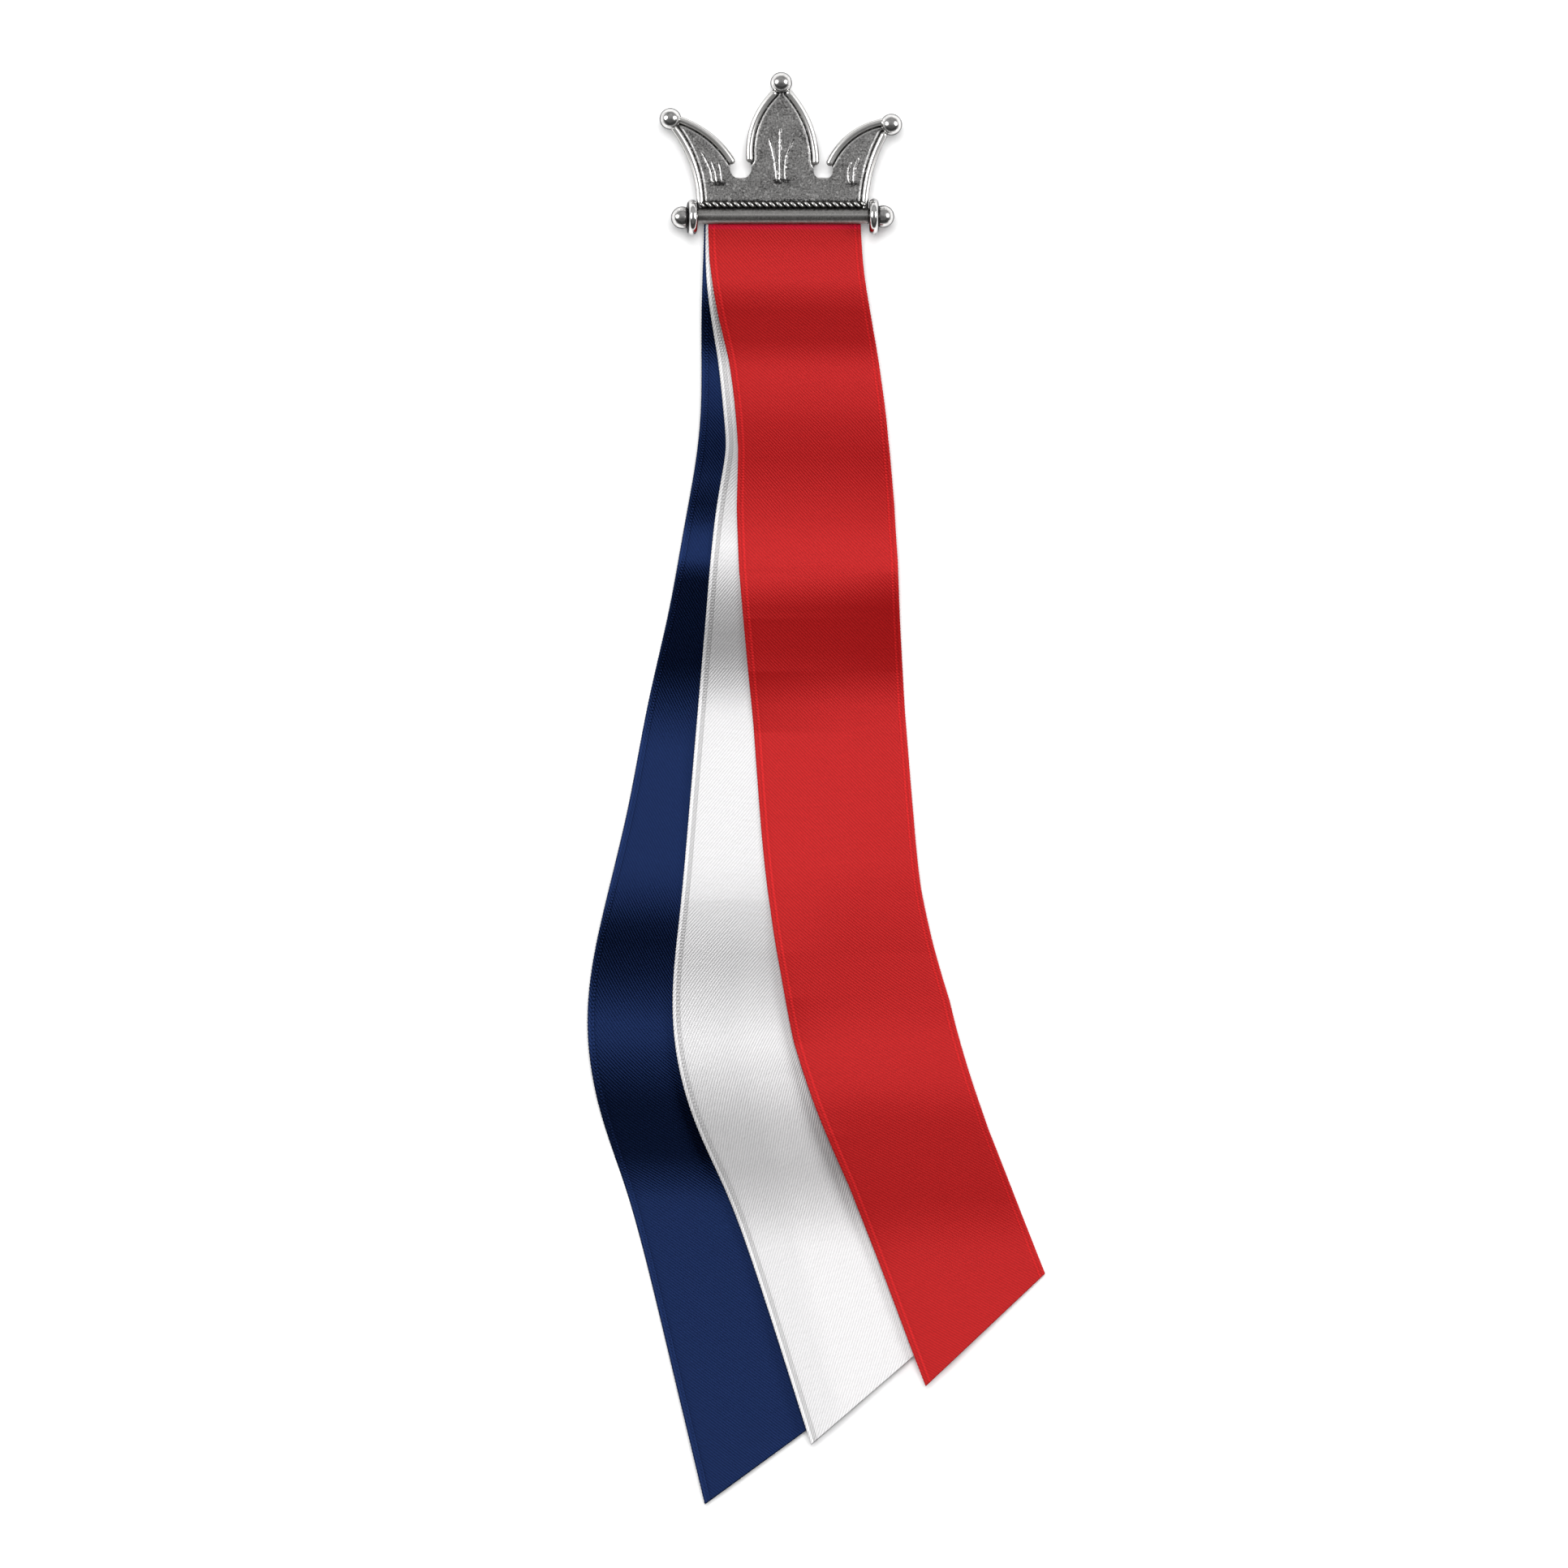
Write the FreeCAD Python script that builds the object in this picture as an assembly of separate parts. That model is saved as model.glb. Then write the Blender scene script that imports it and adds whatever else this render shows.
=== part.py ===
import FreeCAD
import Part
import math
import os

# Ribbon brooch lying on a table, seen from above: a silver crown over a tube, three satin ribbons behind it.
# Millimetres. +X is the viewer's right, +Y runs from the ribbon ends up to the crown, +Z is up from the table.
# The shapes are drawn about the middle of the tube, at the height of the table, and moved to the shared frame last.

# Driving dimensions of the ribbons
CLOTH = 1.0
LAYER_GAP = 0.1
SECTION_STEP = 3.5
WAVE_ROUNDING = 2.0
WAVE_SAMPLES = 5
CUT_RUN = 22.0

# Driving dimensions of the crown, its tube and its rings
PLATE_THICKNESS = 0.9
PLATE_FOOT_Y = 0.5
PLATE_FRONT_BELOW_TUBE_MIDDLE = 0.05
RIM_RADIUS = 0.45
RIM_INSET = 0.38
TIP_BALL_RADIUS = 1.42
TIP_BALL_SINK = 0.2
TUBE_RADIUS = 1.1
TUBE_HALF_LENGTH = 11.35
NECK_RADIUS = 0.8
END_BALL_RADIUS = 1.46
TWIST_RADIUS = 0.48
TWIST_HALF_LENGTH = 10.9
TWIST_Y = 1.46
TWIST_SINK = 0.06
RING_MIDDLE_RADIUS = 1.76
RING_WIRE_RADIUS = 0.56

# Driving dimensions of the hidden pin
PIN_WIRE_RADIUS = 0.5
PIN_HALF_LENGTH = 8.0
PIN_Y = 4.6
PIN_BEND_RADIUS = 1.2
PIN_PAD_RADIUS = 1.2
PIN_PAD_THICKNESS = 0.4
PIN_GAP = 0.1

# Heights above the table, each worked out from the pieces that lie under it
TUBE_Z = 3 * (CLOTH + LAYER_GAP) + TUBE_RADIUS
PLATE_FRONT_Z = TUBE_Z - PLATE_FRONT_BELOW_TUBE_MIDDLE
PLATE_BACK_Z = PLATE_FRONT_Z - PLATE_THICKNESS
TWIST_Z = PLATE_FRONT_Z + TWIST_RADIUS - TWIST_SINK
TIP_BALL_Z = PLATE_FRONT_Z - TIP_BALL_SINK

# Middle line and flat width of each ribbon, from its hidden top behind the tube to the middle of its slanted cut.
# Columns: along, across, width. The red ribbon is pressed a little narrower and wider where it bends.
RED_LINE = [
    (1.5, 0.2, 20.0), (-5.0, 0.4, 20.1), (-11.0, 1.2, 19.8), (-17.0, 2.4, 19.4), (-23.0, 3.3, 19.5),
    (-30.0, 4.0, 19.8), (-38.0, 4.3, 20.7), (-46.0, 4.7, 20.9), (-54.0, 5.2, 20.5), (-66.0, 6.1, 20.0),
    (-80.0, 7.2, 20.1), (-90.0, 8.3, 20.0), (-98.0, 9.8, 20.4), (-106.0, 11.7, 21.2), (-114.0, 14.1, 20.7),
    (-124.0, 17.9, 19.8), (-135.0, 22.2, 19.8), (-146.7, 26.7, 20.0),
]
WHITE_LINE = [
    (1.5, -0.1, 20.0), (-8.0, 0.0, 20.0), (-17.0, 1.3, 20.0), (-25.0, 2.2, 20.0), (-31.0, 2.5, 20.0),
    (-38.0, 1.5, 20.0), (-52.0, 0.0, 20.0), (-66.0, -1.2, 20.0), (-80.0, -2.4, 20.0), (-94.0, -3.7, 20.0),
    (-106.0, -4.4, 20.0), (-114.0, -2.8, 20.0), (-124.0, 1.5, 20.0), (-134.0, 5.3, 20.0),
    (-144.0, 8.6, 20.0), (-154.7, 12.0, 20.0),
]
BLUE_LINE = [
    (1.5, -0.3, 20.0), (-14.0, -0.7, 20.0), (-26.0, -0.8, 20.0), (-34.0, -1.6, 20.0), (-42.0, -3.0, 20.0),
    (-54.0, -5.2, 20.0), (-66.0, -7.9, 20.0), (-80.0, -10.6, 20.0), (-94.0, -13.9, 20.0),
    (-106.0, -15.7, 20.0), (-114.0, -14.7, 20.0), (-124.0, -11.5, 20.0), (-136.0, -8.1, 20.0),
    (-150.0, -4.7, 20.0), (-163.3, -1.5, 20.0),
]

# Height of each ribbon's underside before the waves: it lies on the ribbon under it, bends at that one's right edge and
# falls towards the table. Columns: along, left edge, place of the bend as a share of the half width, bend, right edge.
RED_LIFT = [
    (1.5, 2.2, 0.8, 2.2, 2.2), (-1.0, 2.2, 0.8, 2.2, 2.2), (-8.0, 2.4, 0.8, 2.4, 2.4),
    (-34.0, 2.45, 0.8, 2.4, 2.3), (-48.0, 2.45, 0.6, 2.4, 2.1), (-60.0, 2.45, 0.4, 2.3, 1.6),
    (-80.0, 2.45, 0.1, 2.2, 1.0), (-90.0, 2.4, -0.15, 2.0, 0.6), (-100.0, 2.3, -0.4, 1.85, 0.3),
    (-112.0, 2.25, -0.55, 1.85, 0.15), (-120.0, 1.9, -0.6, 1.5, 0.1), (-155.0, 1.7, -0.7, 1.4, 0.1),
]
WHITE_LIFT = [
    (1.5, 1.1, 0.8, 1.1, 1.1), (-1.0, 1.1, 0.8, 1.1, 1.1), (-8.0, 1.2, 0.8, 1.2, 1.2),
    (-36.0, 1.2, 0.8, 1.2, 1.1), (-46.0, 1.3, 0.65, 1.25, 1.0), (-60.0, 1.2, 0.5, 1.15, 0.75),
    (-80.0, 1.2, 0.3, 1.15, 0.4), (-96.0, 1.3, 0.1, 1.25, 0.15), (-103.0, 1.6, 0.0, 1.5, 0.1),
    (-113.0, 1.55, -0.05, 1.5, 0.1), (-120.0, 1.25, -0.15, 1.15, 0.1), (-162.0, 1.2, -0.4, 1.15, 0.1),
]
BLUE_LIFT = [(1.5, 0.0, 0.0, 0.0, 0.0), (-170.0, 0.0, 0.0, 0.0, 0.0)]

# Waves that the ribbons kept from being folded together, their creases at slightly different places.
# Columns: along, height
RED_WAVE = [
    (1.5, 0.0), (-3.0, 0.0), (-9.0, 0.35), (-18.5, 0.0), (-25.0, 0.1), (-36.0, 0.0), (-48.0, 0.5), (-64.0, 0.0),
    (-91.0, 0.8), (-104.5, 0.7), (-115.5, 1.1), (-133.0, 0.6), (-147.0, 0.9), (-172.0, 1.2),
]
WHITE_WAVE = [
    (1.5, 0.0), (-3.0, 0.0), (-9.0, 0.35), (-18.5, 0.0), (-25.0, 0.1), (-36.0, 0.0), (-47.5, 0.45), (-64.5, 0.0),
    (-90.5, 0.7), (-103.5, 0.55), (-113.5, 0.8), (-131.5, 0.3), (-147.0, 0.7), (-172.0, 1.1),
]
BLUE_WAVE = [
    (1.5, 0.0), (-3.0, 0.0), (-9.0, 0.35), (-18.5, 0.0), (-25.0, 0.1), (-36.0, 0.0), (-47.0, 0.4), (-65.0, 0.0),
    (-89.5, 0.6), (-102.0, 0.3), (-111.5, 0.4), (-128.0, 0.0), (-147.0, 0.35), (-172.0, 0.7),
]

# Slant of each ribbon's cut away from square, in degrees
CUT_SLANT = {"red": 22.2, "white": 23.2, "blue": 22.6}

# Crown outline as arcs through three points, clockwise round the plate: name, start, middle, end
OUTLINE = [
    ("left_side", (-11.25, 1.00), (-12.25, 7.00), (-14.60, 11.30)),
    ("left_top", (-13.50, 13.00), (-9.75, 11.05), (-6.42, 7.40)),
    ("left_notch", (-6.42, 7.40), (-5.40, 4.85), (-4.74, 7.45)),
    ("petal_left", (-4.74, 7.45), (-4.20, 11.90), (-1.44, 16.36)),
    ("petal_right", (1.10, 16.40), (3.95, 11.55), (4.71, 7.11)),
    ("right_notch", (4.71, 7.11), (5.35, 4.73), (5.85, 7.15)),
    ("right_top", (5.85, 7.15), (8.75, 10.80), (13.00, 12.70)),
    ("right_side", (13.64, 10.43), (12.00, 6.46), (11.18, 1.00)),
]
RIMMED = ("left_side", "left_top", "petal_left", "petal_right", "right_top", "right_side")

# Balls on the crown's tips and on the ends of the tube
TIP_BALLS = [(-14.80, 12.75), (-0.21, 17.49), (14.28, 12.00)]
END_BALLS = [(-13.25, -0.25), (13.20, -0.10)]

# Loose rings: name, place across, place along, how far below the tube's middle, how far each is turned in degrees
RINGS = [("ring_left", -11.95, -0.25, 0.05, 5.5), ("ring_right", 12.00, -0.10, 0.05, 0.0)]


def between(rows, along, column):
    """Straight-line value of a column of a table whose first column falls from row to row."""
    for upper, lower in zip(rows, rows[1:]):
        if along >= lower[0]:
            share = (upper[0] - along) / (upper[0] - lower[0])
            return upper[column] + min(max(share, 0.0), 1.0) * (lower[column] - upper[column])
    return rows[-1][column]


def wave_height(rows, along):
    """Height of the wave at one place, with its creases rounded by averaging over a short stretch either way."""
    step = 2 * WAVE_ROUNDING / (WAVE_SAMPLES - 1)
    return sum(between(rows, along - WAVE_ROUNDING + step * k, 1) for k in range(WAVE_SAMPLES)) / WAVE_SAMPLES


def ribbon(line, lift, waves, slant):
    """A cloth wall lofted straight between sections that each have one bend, cut slanted at its free end."""
    curve = Part.BSplineCurve()
    places = [FreeCAD.Vector(x, y, 0) for y, x, _ in line]
    last_run = places[-1] - places[-2]
    curve.interpolate(Points=places, InitialTangent=FreeCAD.Vector(0, -1, 0), FinalTangent=last_run.normalize())
    length = curve.length()
    reach = line[-1][2] / 2 * math.tan(math.radians(slant))
    first, last = curve.FirstParameter, curve.LastParameter
    count = int(length / SECTION_STEP)
    sections = []
    for i in range(count + 1):
        distance = length * i / count
        skew = reach * max(0.0, 1 - (length - distance) / CUT_RUN)
        edges = []
        for side in (-1, 1):
            at = distance - side * skew
            over = max(0.0, at - length)
            parameter = last if over else curve.parameterAtDistance(at, first)
            tangent = curve.tangent(parameter)[0]
            across = FreeCAD.Vector(-tangent.y, tangent.x, 0)
            middle = curve.value(parameter)
            half_width = between(line, middle.y, 2) / 2
            edges.append(middle + tangent * over + across * (side * half_width))
        left, right = edges
        bend = left + (right - left) * (1 + between(lift, (left.y + right.y) / 2, 2)) / 2
        for point, column in ((left, 1), (bend, 3), (right, 4)):
            point.z = between(lift, point.y, column) + wave_height(waves, point.y)
        up = FreeCAD.Vector(0, 0, CLOTH)
        sections.append(Part.makePolygon([left, bend, right, right + up, bend + up, left + up, left]))
    return Part.makeLoft(sections, True, True)


def arc(points, inset=0.0):
    """Arc through three points, moved towards the inside of the clockwise outline by the inset."""
    start, middle, end = (FreeCAD.Vector(x, y, 0) for x, y in points)
    curve = Part.Arc(start, middle, end)
    moved = []
    for point in (start, middle, end):
        tangent = curve.tangent(curve.parameter(point))[0]
        moved.append(point + FreeCAD.Vector(tangent.y, -tangent.x, 0) * inset)
    return Part.Arc(*moved).toShape()


def plate():
    """Flat crown plate: the outline's arcs joined by short straight lines, thickened."""
    foot_right = FreeCAD.Vector(OUTLINE[-1][3][0], PLATE_FOOT_Y, 0)
    foot_left = FreeCAD.Vector(OUTLINE[0][1][0], PLATE_FOOT_Y, 0)
    edges = []
    corner = foot_left
    for _, start, middle, end in OUTLINE:
        first = FreeCAD.Vector(*start, 0)
        if corner.distanceToPoint(first) > 0:
            edges.append(Part.makeLine(corner, first))
        edges.append(arc((start, middle, end)))
        corner = FreeCAD.Vector(*end, 0)
    edges.append(Part.makeLine(corner, foot_right))
    edges.append(Part.makeLine(foot_right, foot_left))
    face = Part.Face(Part.Wire(edges))
    face.translate(FreeCAD.Vector(0, 0, PLATE_BACK_Z))
    return face.extrude(FreeCAD.Vector(0, 0, PLATE_THICKNESS))


def rod(edges, radius):
    """Round wire of one radius along joined edges."""
    path = Part.Wire(edges)
    start = path.Edges[0].valueAt(path.Edges[0].FirstParameter)
    direction = path.Edges[0].tangentAt(path.Edges[0].FirstParameter)
    ring = Part.Wire(Part.makeCircle(radius, start, direction))
    return path.makePipeShell([ring], True, False)


def rim(points):
    """Half-round rim raised along one side of the plate."""
    wire = rod([arc(points, RIM_INSET)], RIM_RADIUS)
    wire.translate(FreeCAD.Vector(0, 0, PLATE_FRONT_Z))
    return wire


def bar(radius, half_length, y, z):
    """Round bar across the brooch."""
    return Part.makeCylinder(radius, 2 * half_length, FreeCAD.Vector(-half_length, y, z), FreeCAD.Vector(1, 0, 0))


def ball(radius, x, y, z):
    """Ball whose seam line faces away from the crown, a half turn on for those on the left."""
    middle = FreeCAD.Vector(x, y, z)
    sphere = Part.makeSphere(radius, middle)
    if x < 0:
        sphere.rotate(middle, FreeCAD.Vector(0, 0, 1), 180)
    return sphere


def crown():
    """Plate, rims, tip balls, tube, twisted wire and end balls, soldered together."""
    pieces = [rim((start, middle, end)) for name, start, middle, end in OUTLINE if name in RIMMED]
    pieces += [ball(TIP_BALL_RADIUS, x, y, TIP_BALL_Z) for x, y in TIP_BALLS]
    pieces.append(bar(TUBE_RADIUS, TUBE_HALF_LENGTH, 0, TUBE_Z))
    pieces.append(bar(TWIST_RADIUS, TWIST_HALF_LENGTH, TWIST_Y, TWIST_Z))
    pieces.append(bar(NECK_RADIUS, END_BALLS[1][0], 0, TUBE_Z))
    solder = Part.makeBox(2 * TWIST_HALF_LENGTH, TWIST_Y - PLATE_FOOT_Y, TWIST_Z - PLATE_FRONT_Z + TWIST_SINK)
    solder.translate(FreeCAD.Vector(-TWIST_HALF_LENGTH, PLATE_FOOT_Y, PLATE_FRONT_Z - TWIST_SINK))
    pieces.append(solder)
    pieces += [ball(END_BALL_RADIUS, x, y, TUBE_Z) for x, y in END_BALLS]
    return plate().multiFuse(pieces).removeSplitter()


def loose_ring(x, y, drop, turn):
    """Round wire ring threaded between the tube's end and its ball, a little askew where it is turned."""
    middle = FreeCAD.Vector(x, y, TUBE_Z - drop)
    ring = Part.makeTorus(RING_MIDDLE_RADIUS, RING_WIRE_RADIUS, middle, FreeCAD.Vector(1, 0, 0))
    ring.rotate(middle, FreeCAD.Vector(0, 1, 0), turn)
    return ring


def brooch_pin():
    """One bent wire behind the crown: two legs with solder pads and the stem between them."""
    pad_foot = PLATE_BACK_Z - PIN_GAP - PIN_PAD_THICKNESS
    leg_top = pad_foot + PIN_PAD_THICKNESS / 2
    leg_foot = PIN_WIRE_RADIUS + PIN_BEND_RADIUS
    diagonal = PIN_BEND_RADIUS * (1 - math.sqrt(0.5))
    left = [
        FreeCAD.Vector(-PIN_HALF_LENGTH, PIN_Y, leg_top),
        FreeCAD.Vector(-PIN_HALF_LENGTH, PIN_Y, leg_foot),
        FreeCAD.Vector(diagonal - PIN_HALF_LENGTH, PIN_Y, PIN_WIRE_RADIUS + diagonal),
        FreeCAD.Vector(PIN_BEND_RADIUS - PIN_HALF_LENGTH, PIN_Y, PIN_WIRE_RADIUS),
    ]
    right = [FreeCAD.Vector(-point.x, point.y, point.z) for point in reversed(left)]
    edges = [
        Part.makeLine(left[0], left[1]),
        Part.Arc(*left[1:]).toShape(),
        Part.makeLine(left[3], right[0]),
        Part.Arc(*right[:3]).toShape(),
        Part.makeLine(right[2], right[3]),
    ]
    feet = [FreeCAD.Vector(x, PIN_Y, pad_foot) for x in (-PIN_HALF_LENGTH, PIN_HALF_LENGTH)]
    pads = [Part.makeCylinder(PIN_PAD_RADIUS, PIN_PAD_THICKNESS, foot) for foot in feet]
    return rod(edges, PIN_WIRE_RADIUS).multiFuse(pads).removeSplitter()


def build():
    """Every piece by name, drawn about the middle of the tube."""
    pieces = {"crown": crown(), "brooch_pin": brooch_pin()}
    for name, x, y, drop, turn in RINGS:
        pieces[name] = loose_ring(x, y, drop, turn)
    pieces["ribbon_red"] = ribbon(RED_LINE, RED_LIFT, RED_WAVE, CUT_SLANT["red"])
    pieces["ribbon_white"] = ribbon(WHITE_LINE, WHITE_LIFT, WHITE_WAVE, CUT_SLANT["white"])
    pieces["ribbon_blue"] = ribbon(BLUE_LINE, BLUE_LIFT, BLUE_WAVE, CUT_SLANT["blue"])
    return pieces


def main():
    """Moves the pieces so that the middle of the whole brooch's base is the origin, and writes them."""
    pieces = build()
    box = FreeCAD.BoundBox()
    for shape in pieces.values():
        box.add(shape.optimalBoundingBox(False, False))
    shift = FreeCAD.Vector(-box.Center.x, -box.Center.y, -box.ZMin)
    os.makedirs("parts", exist_ok=True)
    for name, shape in pieces.items():
        shape.translate(shift)
        shape.exportStep(f"parts/{name}.step")
        print(f"{name}: {len(shape.Solids)} solid, valid {shape.isValid()}, {shape.Volume:.1f} cubic mm")
    print(f"shift {shift.x:.3f} {shift.y:.3f} {shift.z:.3f}")
    print(f"size {box.XLength:.2f} {box.YLength:.2f} {box.ZLength:.2f}")


main()
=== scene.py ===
import math

import bpy
import numpy as np
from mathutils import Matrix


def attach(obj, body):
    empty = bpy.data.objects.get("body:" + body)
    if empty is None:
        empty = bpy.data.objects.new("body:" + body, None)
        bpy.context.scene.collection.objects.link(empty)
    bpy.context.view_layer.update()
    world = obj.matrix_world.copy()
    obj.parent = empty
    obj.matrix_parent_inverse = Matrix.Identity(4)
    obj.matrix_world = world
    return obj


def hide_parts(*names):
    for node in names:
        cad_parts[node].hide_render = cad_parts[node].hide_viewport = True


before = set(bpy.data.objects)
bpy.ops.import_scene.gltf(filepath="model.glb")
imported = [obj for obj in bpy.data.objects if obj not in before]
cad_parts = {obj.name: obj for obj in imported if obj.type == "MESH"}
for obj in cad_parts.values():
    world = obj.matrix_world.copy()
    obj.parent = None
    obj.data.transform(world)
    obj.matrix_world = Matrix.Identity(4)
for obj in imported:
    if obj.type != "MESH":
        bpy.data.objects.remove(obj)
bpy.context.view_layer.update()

# The table and the light.
# The brooch lies on a white table and is seen straight from above through a long lens. Two round soft lamps
# stand far off to its left and right, a little towards the crown, in a dim room with pale walls, with a
# wide faint glow overhead.

MM = 0.001
# Place under the middle of the crown's tube, in millimetres; every other place is taken from it
CLASP = np.array([-4.422, 75.388, 0.0])
PHOTO_MIDDLE = (0.16, -74.8)  # across and along from the clasp
PHOTO_SIDE = 206.6
LENS_DISTANCE = 4.0
SENSOR = 36.0
LAMP_LEAN = 50.0
LAMP_FORWARD = 9.5
LAMP_HALF_ANGLE = 14.0
LAMP_GLOW = 10.8
CLOTH_LEFT_GLOW = 1.7
CLOTH_RIGHT_GLOW = 4.7
CLOTH_TOP_GLOW = 7.5
TABLE_SIDE_GLOW = 3.0
TABLE_TOP_GLOW = 16.5
OVERHEAD_HALF_ANGLE = 52.0
OVERHEAD_GLOW = 0.08

scene = bpy.context.scene
scene.view_settings.view_transform = "Standard"

lens = bpy.data.cameras.new("camera")
lens.sensor_width = SENSOR
lens.lens = SENSOR * LENS_DISTANCE / (PHOTO_SIDE * MM)
lens.clip_start = 0.01
lens.clip_end = 20.0
camera = bpy.data.objects.new("camera", lens)
camera.location = (*((CLASP[:2] + PHOTO_MIDDLE) * MM), LENS_DISTANCE)
scene.collection.objects.link(camera)
scene.camera = camera

# The side lamps at full strength light the silver. The cloth and the table get them dimmed, and a lamp
# straight above, so that the shine follows the waves the same way at every turn of a ribbon and the shadows
# stay short and soft.
lit = {group: bpy.data.collections.new(group) for group in ("silver", "table", "cloth")}
for name, group, lean, glow, half_angle in (
    ("lamp_left", "silver", -LAMP_LEAN, LAMP_GLOW, LAMP_HALF_ANGLE),
    ("lamp_right", "silver", LAMP_LEAN, LAMP_GLOW, LAMP_HALF_ANGLE),
    ("glow_above", "silver", 0.0, OVERHEAD_GLOW, OVERHEAD_HALF_ANGLE),
    ("table_lamp_left", "table", -LAMP_LEAN, TABLE_SIDE_GLOW, LAMP_HALF_ANGLE),
    ("table_lamp_right", "table", LAMP_LEAN, TABLE_SIDE_GLOW, LAMP_HALF_ANGLE),
    ("table_lamp_above", "table", 0.0, TABLE_TOP_GLOW, LAMP_HALF_ANGLE),
    ("cloth_lamp_left", "cloth", -LAMP_LEAN, CLOTH_LEFT_GLOW, LAMP_HALF_ANGLE),
    ("cloth_lamp_right", "cloth", LAMP_LEAN, CLOTH_RIGHT_GLOW, LAMP_HALF_ANGLE),
    ("cloth_lamp_above", "cloth", 0.0, CLOTH_TOP_GLOW, LAMP_HALF_ANGLE),
):
    lamp = bpy.data.lights.new(name, "SUN")
    lamp.angle = math.radians(2 * half_angle)
    # What a far disk sends is its glow times pi times the square of the sine of its half angle.
    lamp.energy = glow * math.pi * math.sin(math.radians(half_angle)) ** 2
    across = math.sin(math.radians(lean))
    along = math.sin(math.radians(LAMP_FORWARD))
    up = math.sqrt(1 - across**2 - along**2)
    stand = bpy.data.objects.new(name, lamp)
    stand.location = (across, along, up)
    stand.rotation_mode = "QUATERNION"
    stand.rotation_quaternion = stand.location.to_track_quat("Z", "Y")
    stand.light_linking.receiver_collection = lit[group]
    scene.collection.objects.link(stand)


def wire_up(tree, kind, inputs=None, **settings):
    """One shader node of a kind with its settings and its inputs, each a number, a colour or another node's
    output."""
    node = tree.nodes.new("ShaderNode" + kind)
    for name, value in settings.items():
        setattr(node, name, value)
    for name, value in (inputs or {}).items():
        socket = node.inputs[name]
        if isinstance(value, bpy.types.NodeSocket):
            tree.links.new(value, socket)
        else:
            socket.default_value = value
    return node


def ramp(tree, share, stops, smooth=False):
    """Colour of a share from 0 to 1, between stops of a place and a grey or a colour."""
    node = wire_up(tree, "ValToRGB", {"Fac": share})
    node.color_ramp.interpolation = "EASE" if smooth else "LINEAR"
    places = node.color_ramp.elements
    while len(places) < len(stops):
        places.new(1.0)
    for element, (place, shade) in zip(places, stops):
        element.position = place
        element.color = (*(shade if hasattr(shade, "__len__") else (shade,) * 3), 1.0)
    return node.outputs["Color"]


def worked_out(tree, operation, *values):
    """Result of one Math node."""
    return wire_up(tree, "Math", dict(enumerate(values)), operation=operation).outputs[0]


# The room is pale near the horizon and dim overhead, darkest beyond the loose ends and greyer beyond the
# crown.
room = bpy.data.worlds.new("room")
room.use_nodes = True
scene.world = room
sky = room.node_tree
sky.nodes.clear()
direction = wire_up(sky, "TexCoord").outputs["Generated"]
heading = wire_up(sky, "SeparateXYZ", {"Vector": direction})
along_share = wire_up(sky, "MapRange", {"Value": heading.outputs["Y"], "From Min": -1.0}).outputs["Result"]
overhead = ramp(sky, along_share, [(0.0, 0.05), (0.42, 0.05), (0.5, 0.13), (0.66, 0.3), (1.0, 0.34)])
walls = ramp(sky, heading.outputs["Z"], [(0.0, 1.0), (0.08, 1.0), (0.24, 0.0)], smooth=True)
glow = wire_up(sky, "Mix", {"Factor": walls, "A": overhead, "B": (1.0, 1.0, 1.0, 1.0)}, data_type="RGBA")
air = wire_up(sky, "Background", {"Color": glow.outputs[2], "Strength": 1.0})
wire_up(sky, "OutputWorld", {"Surface": air.outputs["Background"]})


def new_material(name):
    """New material, its node tree and its shader."""
    material = bpy.data.materials.new(name)
    material.use_nodes = True
    return material, material.node_tree, material.node_tree.nodes["Principled BSDF"]


TABLE_HALF = 3.0
TABLE_WHITE = (0.93, 0.93, 0.93, 1.0)
table_mesh = bpy.data.meshes.new("table")
table_mesh.from_pydata(
    [(x * TABLE_HALF, y * TABLE_HALF, 0.0) for x, y in ((-1, -1), (1, -1), (1, 1), (-1, 1))],
    [],
    [(0, 1, 2, 3)],
)
table_white, _, paper = new_material("table_white")
paper.inputs["Base Color"].default_value = TABLE_WHITE
paper.inputs["Roughness"].default_value = 0.9
paper.inputs["Specular IOR Level"].default_value = 0.1
table_mesh.materials.append(table_white)
table = bpy.data.objects.new("table", table_mesh)
scene.collection.objects.link(table)
lit["table"].objects.link(table)


# The ribbons.
# Three satin ribbons, red on white on navy, 20 mm wide and a quarter of a millimetre thick, woven with the
# floats along their length and a finished edge on both sides. They are cut slanted and keep the soft waves
# of being folded together.

SATIN_THICKNESS = 0.26
HALF_WIDTH = 10.0
ROW_STEP = 0.127
LOOP_ROWS = 3.0  # rows of the grid from one loop of the finished edge to the next
CUT_RUN = 22.0
BEND_EASE = 0.2  # share of the half width over which a sheet eases round its bend

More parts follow.
